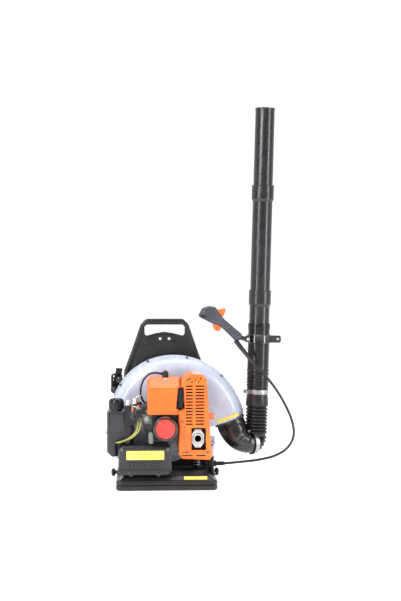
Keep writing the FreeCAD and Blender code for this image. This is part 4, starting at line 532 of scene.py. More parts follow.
def mirrored(points):
    """Complete a right-hand half outline with its left-hand mirror image."""
    return points + [(-u, v) for u, v in reversed(points)]


def circle_points(middle, radius, count=24):
    return [(middle[0] + radius * math.cos(math.tau * i / count),
             middle[1] + radius * math.sin(math.tau * i / count)) for i in range(count)]


def plate(name, outlines, low, high, edge, fine=3, place=Matrix.Identity(4)):
    """A solid between y low and high with its outlines in X and Z; the first is the outside."""
    curve = bpy.data.curves.new(name, "CURVE")
    curve.dimensions = "2D"
    curve.fill_mode = "BOTH"
    curve.extrude = (high - low) / 2 * MM - edge * MM
    curve.bevel_depth, curve.bevel_resolution = edge * MM, fine
    curve.offset = -edge * MM
    for outline in outlines:
        spline = curve.splines.new("POLY")
        spline.points.add(len(outline) - 1)
        for point, (u, v) in zip(spline.points, outline):
            point.co = (u * MM, v * MM, 0, 1)
        spline.use_cyclic_u = True
    holder = bpy.data.objects.new(name, curve)
    bpy.context.collection.objects.link(holder)
    mesh = bpy.data.meshes.new_from_object(holder.evaluated_get(
        bpy.context.evaluated_depsgraph_get()))
    bpy.data.objects.remove(holder)
    stand = Matrix.Translation((0, (low + high) / 2 * MM, 0)) @ Matrix.Rotation(
        math.radians(90), 4, "X")
    mesh.transform(place @ stand)
    return mesh


def joined(name, meshes, bm=None, smooth=35):
    """One mesh made of several, and of what a bmesh already holds."""
    bm = bm or bmesh.new()
    for mesh in meshes:
        bm.from_mesh(mesh)
        bpy.data.meshes.remove(mesh)
    return finished(bm, name, smooth)


def stack(bm, outline_at, profile, place=Matrix.Identity(4)):
    """A closed solid of outlines laid along Z: outline_at(inset) at each (inset, height)."""
    rings = [[bm.verts.new(place @ Vector((u * MM, v * MM, height * MM)))
              for u, v in outline_at(inset)] for inset, height in profile]
    for low, high in zip(rings, rings[1:]):
        ring_strip(bm, low, high)
    bm.faces.new(rings[0][::-1])
    bm.faces.new(rings[-1])


# ---------------------------------------------------------------------------
# Back frame
# ---------------------------------------------------------------------------
BASE_HALF = (148.5, 150.0)
FRAME_EDGE = [(136.5, 22), (136.5, 160), (126, 331), (103, 393), (75, 474), (58, 492)]
FRAME_INNER = [(121, 30), (121, 160), (111, 328), (89, 389), (66, 462), (55, 474)]
FRAME_SLOT = [(56, 473), (63, 466), (62, 437), (30, 446), (0, 451)]


def base_outline(inset):
    half_x, half_y = BASE_HALF[0] - inset, BASE_HALF[1] - inset
    return rounded_box((-half_x, -half_y), (half_x, half_y), max(16 - inset * 0.6, 3), 8)


def back_frame():
    """The blow-moulded base and upright: a hollow-looking rim round a thin ribbed panel."""
    bm = bmesh.new()
    lip = [(9, 0), (4, 0.8), (1.2, 3), (0, 6.5), (0, 13), (0.8, 15.4), (3.2, 16.8), (3.2, 18.2),
           (0.8, 19.4), (0, 21.5), (0.4, 25), (2.2, 28), (5.5, 29.8), (9, 30), (20, 30), (22, 29.4),
           (23.5, 27.6), (24, 26)]
    stack(bm, base_outline, lip)
    tray = [(4, 28.5), (5, 30.4), (16, 40.4), (17.6, 41.6), (20, 42)]
    stack(bm, lambda inset: rounded_box((-143 + inset, -148 + inset), (143 - inset, -19 - inset),
                                        8),
          tray)
    for side in (-1, 1):
        lathe(bm, [(0.5, 28), (13, 28), (12, 34), (10.5, 40), (10.5, 74 if side > 0 else 36),
                   (0.5, 74 if side > 0 else 36)], Matrix.Translation((side * 0.136, -0.002, 0)),
              40, closed=False)
        for near, far in ((-100, -60), (-20, 20), (60, 100)):
            block(bm, (side * 70 - 22, near, 25.5), (side * 70 + 22, far, 29))
    edge = smooth_outline(mirrored(FRAME_EDGE), 20, 8)
    inner = smooth_outline(mirrored(FRAME_INNER), 12, 6)
    rim = plate("rim", [edge, inner], 128, 144, 5.5, 5)
    slot = smooth_outline(FRAME_SLOT + [(-u, v) for u, v in reversed(FRAME_SLOT[:-1])], 9)
    cuts = [slot] + [circle_points((side * 14, 429), 4.2) for side in (-1, 1)]
    for middle in (-84, -46, 46, 84):
        cuts.append(rounded_box((middle - 6, 326), (middle + 6, 380 - abs(middle) / 3), 4))
    grown = smooth_outline(mirrored([(u + 4, v) for u, v in FRAME_INNER[:-1]] + [(58, 478)]), 12)
    panel = plate("panel", [grown] + cuts, 133, 139, 1.2, 2)
    ribs = []
    for side in (-1, 1):
        arch = [(side * u, v) for u, v in ((24, 424), (40, 421), (58, 417), (62, 412), (58, 411),
                                          (40, 415.5), (25, 419))]
        ribs.append(plate("rib", [smooth_outline(arch, 3, 3)], 130.4, 134, 1.2, 2))
        for middle in (46, 84):
            frame_in = rounded_box((side * middle - 9, 322), (side * middle + 9, 383 - middle / 3),
                                   6)
            hole = rounded_box((side * middle - 6, 326), (side * middle + 6, 380 - middle / 3), 4)
            ribs.append(plate("vent", [frame_in, hole], 131, 134, 1, 2))
    hump = [(62, 437), (30, 446), (0, 451), (-30, 446), (-62, 437), (-62, 430), (-30, 439.5),
            (0, 444.5), (30, 439.5), (62, 430)]
    ribs.append(plate("brow", [smooth_outline(hump, 6)], 129.6, 142.4, 2.2, 3))
    mesh = joined("frame_moulding", [rim, panel] + ribs, bm, 40)
    piece("frame_moulding", mesh, "machine", "frame_plastic", ["back_frame"])


# ---------------------------------------------------------------------------
# Spiral casing
# ---------------------------------------------------------------------------
CRANK = (-4.0, 180.0)
SPIRAL = {"radius": 128.0, "growth": 0.00251, "start": -75.0, "end": 262.0}
OUTLET = {"outer": Vector((241.0, 202.0)), "inner": Vector((153.0, 167.0))}
SEAM = 60.0


def casing_outline(inset):
    """The spiral wall, then out to the outlet and back, all moved inwards by inset."""
    along = (OUTLET["outer"] - OUTLET["inner"]).normalized()
    outer, inner = OUTLET["outer"] - along * inset, OUTLET["inner"] + along * inset
    points = []
    steps = 150
    for i in range(steps + 1):
        turn = SPIRAL["start"] + (SPIRAL["end"] - SPIRAL["start"]) * i / steps
        reach = SPIRAL["radius"] * math.exp(SPIRAL["growth"] * max(turn, 0)) - inset
        angle = math.radians(270 - turn)
        points.append((CRANK[0] + reach * math.cos(angle), CRANK[1] + reach * math.sin(angle)))
    for start, end, count in ((Vector(points[-1]), outer, 8), (outer, inner, 10),
                              (inner, Vector(points[0]), 10)):
        for i in range(1, count + (0 if end is not inner and end is not outer else 1)):
            points.append(tuple(start.lerp(end, i / count)))
    return points


def casing_shell(name, direction, drop, extras):
    """One dished half of the casing with its flange."""
    bm = bmesh.new()
    dish = [(0, 0.15), (0, 2.6), (0.5, 3.1), (6.0, 3.2), (6.8, 3.6), (7.2, 4.8)]
    turns = 12
    for i in range(1, turns + 1):
        angle = math.radians(90 * i / turns)
        dish.append((7.2 + 36 * (1 - math.cos(angle)), 4.8 + (drop - 4.8) * math.sin(angle)))
    place = Matrix.Translation((0, SEAM * MM, 0)) @ Matrix.Rotation(math.radians(90), 4, "X")
    if direction > 0:
        place = place @ Matrix.Diagonal((1, 1, -1, 1))
    stack(bm, casing_outline, dish, place)
    for low, high in extras:
        block(bm, low, high)
    return finished(bm, name, 48)


def casing():
    arms = [((122, -14.5, 117), (150, 22, 121)), ((-150, -14.5, 79), (-122, 22, 83)),
            ((104, 12, 117), (150, 40, 137)), ((-150, 12, 79), (-110, 40, 109))]
    piece("casing_front_shell", casing_shell("casing_front_shell", -1, 45, arms), "machine",
          "volute_plastic", ["fan_case_front"])
    feet = [((side * 98 - 16, 68, 74), (side * 98 + 16, 100, 112)) for side in (-1, 1)]
    piece("casing_rear_shell", casing_shell("casing_rear_shell", 1, 45, feet), "machine",
          "volute_plastic", ["fan_case_rear"])
    bm = bmesh.new()
    lathe(bm, [(0.5, 0), (60, 0), (60, 0.5), (0.5, 0.5)],
          turned((0, 1, 0), (CRANK[0], 104.9, CRANK[1])), 64, closed=False)
    piece("intake_shadow", finished(bm, "intake_shadow"), "machine", "dark_inside")
    along = (OUTLET["outer"] - OUTLET["inner"]).normalized()
    across = Vector((-along.y, along.x))
    corners = [OUTLET["inner"] + along * 6 + across * 6, OUTLET["outer"] - along * 16 + across * 5,
               OUTLET["outer"] - along * 18 + across * 15,
               OUTLET["inner"] + along * 8 + across * 16]
    strip = plate("outlet_label", [smooth_outline([tuple(c) for c in corners], 2)], 14.2, 15.0,
                  0.2, 1)
    sticker("outlet_label", strip, "machine")


def sticker(name, mesh, body):
    mesh.shade_smooth()
    mesh.set_sharp_from_angle(angle=math.radians(30))
    return piece(name, mesh, body, "label_yellow")


# ---------------------------------------------------------------------------
# Elbow, bellows and pipes
# ---------------------------------------------------------------------------
MOUTH = Vector((260.0, 48.0, 112.0))
LEAVING = Vector((math.cos(math.radians(25.5)), math.sin(math.radians(25.5)), 0))
TUBE_FOOT = Vector((279.5, 57.3, 112.0))
TUBE_AXIS = Vector(joints["nozzle_lock"]["axis"]).normalized()


def swept(bm, sections):
    """Join equal rings of points, in millimetres, into a closed solid."""
    rings = [[bm.verts.new(point * MM) for point in section] for section in sections]
    for low, high in zip(rings, rings[1:]):
        ring_strip(bm, low, high)
    bm.faces.new(rings[0][::-1])
    bm.faces.new(rings[-1])


def ease(value):
    value = min(1.0, max(0.0, value))
    return value * value * (3 - 2 * value)


def elbow():
    """The oval duct from the outlet to the mouth, with a raised oval panel on its front."""
    outer = Vector((OUTLET["outer"].x, SEAM, OUTLET["outer"].y))
    inner = Vector((OUTLET["inner"].x, SEAM, OUTLET["inner"].y))
    along = (outer - inner).normalized()
    flow = Vector((along.z, 0, -along.x))
    start = (outer + inner) / 2 + flow * 0.4
    hull = [start, start + flow * 50, MOUTH - LEAVING * 42, MOUTH]
    bm = bmesh.new()
    sections = []
    steps, around = 60, 96
    for i in range(steps + 1):
        part = i / steps
        rest = 1 - part
        centre = (hull[0] * rest ** 3 + hull[1] * 3 * part * rest ** 2
                  + hull[2] * 3 * part ** 2 * rest + hull[3] * part ** 3)
        slope = ((hull[1] - hull[0]) * rest ** 2 + (hull[2] - hull[1]) * 2 * part * rest
                 + (hull[3] - hull[2]) * part ** 2).normalized()
        blend = ease((part - 0.12) / 0.82)
        wide, deep = 44 + (30.5 - 44) * blend, 41 + (30.5 - 41) * blend
        side = (Vector((0, 1, 0)) - slope * slope.y).normalized()
        across = side.cross(slope)
        ring = []
        for k in range(around):
            angle = math.tau * k / around
            front = 1 - (math.sin(angle) / 0.74) ** 2 - ((part - 0.38) / 0.25) ** 2
            lift = 3.0 * ease(front * 3.5) if math.cos(angle) < 0 else 0.0
            band = 1.3 * ease(1 - abs(part - 0.9) / 0.025) + 0.9 * ease(1 - abs(part - 0.7) / 0.02)
            ring.append(centre + side * math.cos(angle) * (deep + lift + band)
                        + across * math.sin(angle) * (wide + lift + band))
        sections.append(ring)
    swept(bm, sections)
    flange = [inner - along * 1.5, outer + along * -0.5]
    plate_corners = [flange[0] + flow * 0.4, flange[1] + flow * 0.4, flange[1] + flow * 4.2,
                     flange[0] + flow * 4.2]
    near = [bm.verts.new((p + Vector((0, -42, 0))) * MM) for p in plate_corners]
    far = [bm.verts.new((p + Vector((0, 30, 0))) * MM) for p in plate_corners]
    ring_strip(bm, near, far)
    bm.faces.new(near[::-1])
    bm.faces.new(far)
    piece("elbow_duct", finished(bm, "elbow_duct", 40), "machine", "elbow_plastic",
          ["elbow_pipe"])


def bellows():
    """The ribbed hose: ribs fanned round the bend, ribs up the tube, then a smooth cuff."""
    bend = (TUBE_FOOT - MOUTH).length
    up = Vector((0, 0, 1))
    stations = [(0.0, 32.6), (1.0, 34.8), (5.0, 34.8)]
    fans = 5
    for i in range(fans * 8 + 1):
        wave = 0.5 - 0.5 * math.cos(math.tau * i / 8)
        stations.append((6 + (bend * math.pi / 2 - 6) * i / (fans * 8), 30.2 + 4.6 * wave ** 0.8))
    quarter = bend * math.pi / 2
    ribs = 8
    pitch = 10.2
    first = 104 - 7 * pitch
    for i in range(ribs * 8 + 1):
        wave = 0.5 - 0.5 * math.cos(math.tau * i / 8)
        height = first - pitch / 2 + (ribs * pitch) * i / (ribs * 8)
        if height > bend + 1:
            stations.append((quarter + height - bend, 30.2 + 4.8 * wave ** 0.8))
    top = quarter + 112 - bend
    stations += [(top + 1, 32.0), (top + 3, 35.2), (top + 14, 35.0), (top + 30, 33.4),
                 (top + 36, 32.9), (top + 54, 32.8), (top + 55, 32.2), (top + 55, 30.2)]
    sections = []
    around = 96
    side = LEAVING.cross(up).normalized()
    for travel, radius in stations:
        if travel < quarter:
            angle = travel / bend
            centre = MOUTH + LEAVING * bend * math.sin(angle) + up * bend * (1 - math.cos(angle))
            ahead = LEAVING * math.cos(angle) + up * math.sin(angle)
        else:
            centre = TUBE_FOOT + TUBE_AXIS * (bend + travel - quarter)
            ahead = TUBE_AXIS
        over = side.cross(ahead).normalized()
        sections.append([centre + side * radius * math.cos(a) + over * radius * math.sin(a)
                         for a in (math.tau * k / around for k in range(around))])
    bm = bmesh.new()
    swept(bm, sections)
    piece("bellows_hose", finished(bm, "bellows_hose", 50), "tube", "black_rubber",
          ["bellows"])


def bump_ring(radius, height, rise=1.8):
    return [(radius, height - rise * 1.2), (radius + rise * 0.75, height - rise * 0.7),
            (radius + rise, height), (radius + rise * 0.75, height + rise * 0.7),
            (radius, height + rise * 1.2)]


def pipe_mesh(name, outside, bore, lugs=()):
    """A pipe from its outside profile and bore radius, with bayonet lugs at given heights."""
    bm = bmesh.new()
    low, high = outside[0][1], outside[-1][1]
    place = turned(TUBE_AXIS, TUBE_FOOT)
    lathe(bm, outside + [(bore, high), (bore, low)], place)
    for low_lug, turn in lugs:
        for x0, x1, z0, z1, rise in ((-6, 6, 8, 19, 3.2), (-20, -6, 16, 18.6, 1.2),
                                     (6, 20, 8.5, 11, 1.2)):
            spin = Matrix.Rotation(math.radians(turn), 4, "Z")
            for k in range(4):
                a0, a1 = (math.radians(x0 + (x1 - x0) * t / 4) for t in (k, k + 1))
                slant = 3.0 * k if rise < 2 else 0
                outer = 34 + rise
                corners = [(33, a0), (33, a1), (outer, a1), (outer, a0)]
                rings = []
                for z in (z0 - slant * 0.4, z1 - slant * 0.4):
                    rings.append([bm.verts.new(place @ spin @ Vector(
                        (r * math.sin(a) * MM, -r * math.cos(a) * MM, (low_lug + z) * MM)))
                        for r, a in corners])
                ring_strip(bm, *rings)
                bm.faces.new(rings[0][::-1])
                bm.faces.new(rings[1])
    return finished(bm, name, 30)


def collar_profile(radius, low):
    """A flared socket with a rolled rim, whose foot is at low."""
    return [(radius, low - 9), (radius + 0.6, low - 8), (33.4, low - 1.5), (34, low),
            (34, low + 36),
            *bump_ring(34, low + 39, 1.4), (34, low + 42)]


def pipes():
    sleeve = [(29.8, 139), (29.8, 167), (31, 168), (33, 168.6)]
    for step in (9, 18, 27, 45, 55):
        sleeve += bump_ring(33, 168 + step, 2.2)
    sleeve += [(33, 350), (33.8, 352), (33.8, 366), (33.2, 368)]
    piece("tube_sleeve", pipe_mesh("tube_sleeve", sleeve, 30.4), "tube", "black_plastic",
          ["swivel_pipe"])
    first = [(30.2, 341)] + [(30.2, 362), (30.8, 369)] + collar_profile(30.8, 428)
    piece("tube_first", pipe_mesh("tube_first", first, 28.8, [(428, 8)]), "pipe_1", "pipe_plastic",
          ["straight_pipe_1"])
    second = [(30.0, 441), (30.3, 470)] + collar_profile(30.3, 750)
    piece("tube_second", pipe_mesh("tube_second", second, 28.3, [(750, 14)]), "pipe_2",
          "pipe_plastic", ["straight_pipe_2"])
    last = [(29.6, 762), (29.8, 792), (29.8, 1020), (30.2, 1024), (31, 1026), (31, 1027.6),
            (30.2, 1028)]
    piece("tube_nozzle", pipe_mesh("tube_nozzle", last, 27.8), "nozzle", "pipe_plastic",
          ["nozzle_pipe"])


# ---------------------------------------------------------------------------
# Hand grip
# ---------------------------------------------------------------------------
GRIP = [(100, 506), (112, 528), (133, 535), (152, 532), (160, 518), (178, 495), (206, 471),
        (232, 449), (234, 438), (222, 427), (208, 432), (183, 457), (164, 474), (142, 481),
        (126, 489), (104, 500)]
GRIP_MIDDLE, GRIP_HALF = 20.0, 17.0


def half_of(mesh, name, middle, keep_front):
    """Cut a mesh at a Y plane and keep one closed half."""
    bm = bmesh.new()
    bm.from_mesh(mesh)
    side = 1 if keep_front else -1
    cut = bmesh.ops.bisect_plane(bm, geom=bm.verts[:] + bm.edges[:] + bm.faces[:],
                                 plane_co=(0, (middle - side * 0.2) * MM, 0),
                                 plane_no=(0, side, 0), clear_outer=True)
    rim = [item for item in cut["geom_cut"] if isinstance(item, bmesh.types.BMEdge)]
    bmesh.ops.holes_fill(bm, edges=rim)
    return finished(bm, name, 40)


def grip():
    body = plate("grip", [smooth_outline(GRIP, 12, 6)], GRIP_MIDDLE - GRIP_HALF,
                 GRIP_MIDDLE + GRIP_HALF, 11, 8)
    for vertex in body.vertices:
        along = (vertex.co.x / MM - 165) / 68
        slim = 1 - 0.16 * ease(along)
        vertex.co.y = (GRIP_MIDDLE + (vertex.co.y / MM - GRIP_MIDDLE) * slim) * MM
    for front, name, node in ((True, "grip_front", "grip_front_shell"),
                              (False, "grip_rear", "grip_rear_shell")):
        piece(name, half_of(body, name, GRIP_MIDDLE, front), "tube", "grip_plastic",
              [node])
    bpy.data.meshes.remove(body)
    lever = [(150, 503), (163, 496), (176, 503), (180, 512), (184, 524), (178, 528), (168, 525),
             (156, 524)]
    shapes = (("cruise_paddle", lever, "cruise_lever", "cruise_lever"),
              ("trigger_blade", [(144, 497), (156, 497), (160, 484), (169.5, 467), (164, 457),
                                 (152, 459), (144, 470), (143.5, 484)], "trigger", "trigger"))
    for name, outline, body_name, node in shapes:
        mesh = plate(name, [smooth_outline(outline, 5, 5)], 14, 26, 2.6, 4)
        mesh.shade_smooth()
        mesh.set_sharp_from_angle(angle=math.radians(40))
        piece(name, mesh, body_name, "lever_plastic", [node])


# ---------------------------------------------------------------------------
# Starter, air cleaner, tank and small fittings
# ---------------------------------------------------------------------------
def starter():
    """The drum with its glossy bezel and the plain red disc."""
    place = turned((0, -1, 0), (CRANK[0], 0, CRANK[1]))
    bm = bmesh.new()
    bezel = [(29.2, 149.0), (29.8, 150.6), (31.5, 151.8), (33.6, 151.6), (35.2, 150.2),
             (35.9, 147.6),
             (35.9, 144), (29.2, 144)]
    lathe(bm, bezel, place)
    piece("starter_bezel", finished(bm, "starter_bezel", 40), "machine", "gloss_black")
    bm = bmesh.new()
    lathe(bm, [(0.2, 148.4), (0.2, 150.5), (14, 150.5), (26.5, 150.3), (27.8, 150.0), (28.4, 149.4),
               (28.4, 148.4)], place, closed=False)
    piece("starter_disc", finished(bm, "starter_disc", 40), "machine", "badge_red")
    bm = bmesh.new()
    for i in range(24):
        spin = place @ Matrix.Rotation(math.tau * i / 24, 4, "Z")
        corners = [bm.verts.new(spin @ Vector((r * MM, w * MM, z * MM)))
                   for z in (88, 140) for r, w in ((35.6, -1.6), (37.4, -1.2), (37.4, 1.2),
                                                    (35.6, 1.6))]
        ring_strip(bm, corners[:4], corners[4:])
        bm.faces.new(corners[:4][::-1])
        bm.faces.new(corners[4:])
    piece("starter_fins", finished(bm, "starter_fins", 30), "machine", "black_plastic")
    low, high = (Vector(c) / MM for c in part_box("pull_handle"))
    tab = plate("pull_tab", [smooth_outline([(low.x + 1, low.z), (high.x - 1, low.z),
                                             (high.x, high.z - 6), (high.x - 4, high.z),
                                             (low.x + 4, high.z), (low.x, high.z - 6)], 4)],
                low.y, high.y, 3, 4)
    tab.shade_smooth()
    piece("pull_tab", tab, "pull_handle", "pull_plastic", ["pull_handle"])
    rope_height = CRANK[1] - 25
    line = [Vector((x, -132, rope_height)) * MM for x in (-24, -28, -32, -36, -40)]
    lead = hose_mesh("rope_lead", line, lambda part: 0.002, 12)
    lead = piece("rope_lead", lead, None, "webbing")
    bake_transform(lead)


def air_cleaner():
    low, high = (Vector(c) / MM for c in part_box("air_cleaner_cover"))
    face = [(low.x, low.z + 14), (low.x + 2, high.z - 8), (low.x + 10, high.z),
            (high.x - 10, high.z),
            (high.x - 2, high.z - 8), (high.x, low.z + 14), (high.x - 8, low.z), (low.x + 8, low.z)]
    body = plate("cover", [smooth_outline(face, 7)], low.y + 5, high.y, 6, 6)
    middle = (low.x + high.x) / 2
    parts = [body]
    brow = [(low.x + 14, high.z - 6), (high.x - 14, high.z - 6), (high.x - 20, 89),
            (low.x + 20, 89)]
    parts.append(plate("brow", [smooth_outline(brow, 5)], low.y + 0.8, low.y + 8, 1.6, 3))
    seam = [(low.x - 0.8, 58), (high.x + 0.8, 58), (high.x + 0.8, 62), (low.x - 0.8, 62)]
    parts.append(plate("seam", [smooth_outline(seam, 1.5)], low.y + 1.6, high.y, 0.9, 2))
    for i in range(10):
        x = low.x + 30 + i * (high.x - low.x - 60) / 9
        rib = [(x - 3.4, 66), (x + 3.4, 66), (x + 3.0, 84), (x - 3.0, 84)]
        parts.append(plate("rib", [smooth_outline(rib, 1.5)], low.y + 0.2, low.y + 8, 1.4, 3))
    for x in (low.x + 38, high.x - 38):
        parts.append(plate("foot", [circle_points((x, low.z + 4), 7)], low.y + 4, high.y, 2, 3))
    mesh = joined("cleaner_lid", parts, smooth=40)
    piece("cleaner_lid", mesh, "machine", "cleaner_plastic", ["air_cleaner_cover"])
    label = plate("cleaner_label", [rounded_box((middle - 54, 91.5), (middle + 56, 117.5), 2)],
                  low.y + 0.1, low.y + 1.0, 0.25, 1)
    sticker("cleaner_label", label, "machine")
    slope = Matrix.Translation((0, -0.1430, 0.0304)) @ Matrix.Rotation(math.radians(-48), 4, "X")
    sticker("base_label", plate("base_label", [rounded_box((50, 1.5), (118, 13), 1.2)], -0.8, 0.1,
                                0.2, 1, slope), "machine")


def tank():
    left, right, floor, roof = -176, -95, 90, 226
    side = [(left, floor + 14), (left, roof - 4), (left + 4, roof), (-121, roof), (-118, roof - 3),
            (-118, 190), (right, 180), (right, floor), (left + 14, floor)]
    back = plate("tank", [smooth_outline(side, 12)], -60, 8, 8, 6)
    over = [(left, floor + 14), (left, roof - 4), (left + 4, roof), (-121, roof), (-118, roof - 3),
            (-118, 190), (right, 180), (right, 134), (-145.5, 134), (-145.5, floor),
            (left + 14, floor)]
    front = plate("tank", [smooth_outline(over, 10)], -84, -50, 8.5, 7)
    seam = [(left - 2.2, 160), (right + 1.2, 160), (right + 1.2, 164), (left - 2.2, 164)]
    rib = plate("seam", [smooth_outline(seam, 1.5)], -83.9, 6, 1.2, 2)
    bm = bmesh.new()
    lathe(bm, [(17, 224), (17, 243), (14, 243), (14, 224)], Matrix.Translation((-0.148, -0.056, 0)),
          48)
    mesh = joined("tank_moulding", [back, front, rib], bm, 40)
    piece("tank_moulding", mesh, "machine", "tank_plastic", ["fuel_tank"])


def cover_hole_shade():
    """A dark plate in burnt steel colour behind the top holes of the muffler's cover: painted shade
    that stands for the dark space behind them.
    """
    outline = smooth_outline([(52, 306), (112, 306), (110, 322), (100, 329), (66, 329), (56, 322)],
                             6)
    mesh = plate("cover_hole_shade", [outline], -104, -101, 0.8, 2)
    mesh.shade_smooth()
    mesh.set_sharp_from_angle(angle=math.radians(35))
    piece("cover_hole_shade", mesh, "machine", "burnt_steel")


def fuel_cap():
    """The wide low tank cap with its grip ribs."""
    axis = Matrix.Translation((-0.148, -0.056, 0))
    bm = bmesh.new()
    lathe(bm, [(0.5, 229.2), (21.6, 229.2), (22.4, 231), (22.4, 250), (21.8, 255.5), (20, 259.2),
               (17, 261.1), (15.5, 261.4), (14.5, 260.4), (0.5, 260.2)], axis, 64, closed=False)
    for i in range(30):
        spin = axis @ Matrix.Rotation(math.tau * i / 30, 4, "Z")
        block(bm, (21.6, -1.0, 231.5), (23, 1.0, 251), spin)
    piece("tank_cap", finished(bm, "tank_cap", 35), "fuel_cap", "black_plastic",
          ["fuel_cap"])


def carburettor_fittings():
    """The bright cap, copper-coloured unions, flange and linkage rods on the carburettor."""
    for name, paint, at, axis, profile in (
            ("carb_cap", "chrome_plate", (-94, -90, 250), (0, 0, 1),
             [(0.4, 0), (9, 0), (9, 6), (8.2, 7), (8.2, 13), (6.5, 15.5), (3.5, 16.6), (0.4, 17)]),
            ("carb_union", "copper_wash", (-101, -96, 226), (0, 0, 1),
             [(0.4, 0), (5, 0), (5, 5), (6.8, 5.6), (6.8, 10), (5, 10.6), (5, 17), (0.4, 17)]),
            ("carb_jet", "copper_wash", (-84, -101, 240), (0, -1, 0),
             [(0.4, -8), (5.4, -8), (5.4, 0), (4.4, 1), (4.4, 3), (0.4, 3)]),
            ("carb_screw", "chrome_plate", (-84, -98, 222), (0.4, -1, 0.2),
             [(0.4, -8), (3.4, -8), (3.4, 4), (5, 4), (5, 7.4), (0.4, 7.6)]),
            ("carb_flange", "porcelain", (-113, -96, 252), (1, -0.5, 0),
             [(0.4, -2), (9.5, -2), (10, -1), (10, 1), (9.5, 2), (0.4, 2)])):
        bm = bmesh.new()
        lathe(bm, profile, turned(axis, at), 40, closed=False)
        piece(name, finished(bm, name, 32), "machine", paint)
    for name, route in (("link_rod", [(-94, -91, 262), (-86, -93, 272), (-76, -90, 270),
                                      (-66, -86, 282)]),
                        ("return_spring_wire", [(-104, -97, 238), (-96, -104, 246),
                                                (-82, -104, 232),
                                                (-72, -100, 238), (-68, -96, 226)])):
        line = route_line(name, [tuple(value * MM for value in point) for point in route], 10)
        piece(name, hose_mesh(name, line, lambda part: 0.0014, 12), "machine", "chrome_plate")
    cover = nodes["cylinder_cover"]
    found, spot, normal, _ = cover.ray_cast(Vector((-0.004, -0.6, 0.3175)), Vector((0, 1, 0)))
    if found:
        bm = bmesh.new()
        lathe(bm, [(0.4, -1), (5.5, -1), (5.5, 0.8), (3.8, 1), (3.8, 3.6), (3.2, 4), (0.4, 4)],
              turned(normal, spot / MM), 32, closed=False)
        piece("plug_bolt", finished(bm, "plug_bolt", 32), "machine", "zinc")


# ---------------------------------------------------------------------------
# Harness: straps along smooth lines, the pad blown up from a flat form
# ---------------------------------------------------------------------------
def smooth_path(name, points, steps=10):
    return [place / MM for place in route_line(name, [Vector(p) * MM for p in points], steps)]


def strap_mesh(name, line, section_at, across=Vector((1, 0, 0)), smooth=50):
    """A solid along a line; section_at(part) gives its (sideways, outward) points there."""
    sections = []
    for i, place in enumerate(line):
        ahead = (line[min(i + 1, len(line) - 1)] - line[max(i - 1, 0)]).normalized()
        side = (across - ahead * across.dot(ahead)).normalized()
        out = side.cross(ahead)
        sections.append([place + side * u + out * w
                         for u, w in section_at(i / (len(line) - 1))])
    bm = bmesh.new()
    swept(bm, sections)
    return finished(bm, name, smooth)


def band_section(wide, thick):
    return lambda part: rounded_box((-wide / 2, -thick / 2), (wide / 2, thick / 2), thick * 0.45, 2)


def padded_section(half, thick, channels=2):
    """A crowned foam section with sewn channels, slimmer at both ends of the strap."""
    def section(part):
        taper = 0.72 + 0.28 * ease(part * 7) * ease((1 - part) * 7)
        points = []
        for k in range(64):
            angle = math.tau * k / 64
            u = abs(math.cos(angle)) ** 0.55 * math.copysign(1, math.cos(angle))
            w = abs(math.sin(angle)) ** 0.75 * math.copysign(1, math.sin(angle))
            sewn = sum(math.exp(-((u * half - c * half) / 2.2) ** 2)
                       for c in (-0.42, 0.42)[:channels])
            quilt = 1 - 0.05 * (0.5 - 0.5 * math.cos(math.tau * part * 9))
            points.append((u * half * taper, w * thick / 2 * quilt * (1 - 0.38 * sewn)))
        return points
    return section


BEHIND = 144.3
STRAP_SIDE = [(3, 414), (20, 417), (39, 400), (54, 358), (58, 300), (50, 232), (36, 181)]


def shoulder_strap(side, name):
    """One padded strap with its face webbing, adjuster and lower webbing."""
    bow = [-8, -7, -3, 1, 3, 2, 0]
    route = [(side * (70 + b), BEHIND + u, v) for (u, v), b in zip(STRAP_SIDE, bow)]
    line = smooth_path(f"strap_line_{name}", route)
    pad = piece(f"strap_pad_{name}", strap_mesh(f"strap_pad_{name}", line,
                                                padded_section(27, 10.5)),
                "machine", "pad_cloth", [f"shoulder_strap_{name}"])
    for edge, tag in ((-1, "in"), (1, "out")):
        rim = []
        for i, place in enumerate(line):
            part = i / (len(line) - 1)
            taper = 0.72 + 0.28 * ease(part * 7) * ease((1 - part) * 7)
            rim.append((place + Vector((edge * 26.6 * taper, 0, 0))) * MM)
        piece(f"strap_piping_{name}_{tag}",
              hose_mesh(f"strap_piping_{name}_{tag}", rim, lambda part: 0.0017, 10), "machine",
              "webbing")
    face = []
    for i in range(len(line)):
        ahead = (line[min(i + 1, len(line) - 1)] - line[max(i - 1, 0)]).normalized()
        out = Vector((1, 0, 0)).cross(ahead)
        face.append(line[i] - out * math.copysign(5.4, out.y))
    face = [p for p in face if p.y > 0]
    piece(f"strap_webbing_{name}", strap_mesh(f"strap_webbing_{name}", face, band_section(24, 1.6)),
          "machine", "webbing")
    end = line[-1]
    tail = smooth_path(f"tail_{name}", [tuple(end + Vector((0, 1, 4))),
                                        tuple(end + Vector((0, 1, -14))),
                                        (side * 84, BEHIND + 26, 140),
                                        (side * 118, BEHIND + 12, 88),
                                        (side * 134, BEHIND + 6.5, 54)])
    piece(f"lower_webbing_{name}", strap_mesh(f"lower_webbing_{name}", tail, band_section(24, 1.6)),
          "machine", "webbing")
    holes = [rounded_box((-14, z), (14, z + 5), 1.5) for z in (-13, -4, 5)]
    buckle = plate(f"adjuster_{name}", [rounded_box((-20, -18), (20, 14), 5)] + holes, -2.6, 2.6,
                   1.4, 3, Matrix.Translation((end + Vector((0, 2, -8))) * MM)
                   @ Matrix.Rotation(math.radians(-14), 4, "X"))
    buckle.shade_smooth()
    buckle.set_sharp_from_angle(angle=math.radians(40))
    piece(f"adjuster_{name}", buckle, "machine", "black_plastic")


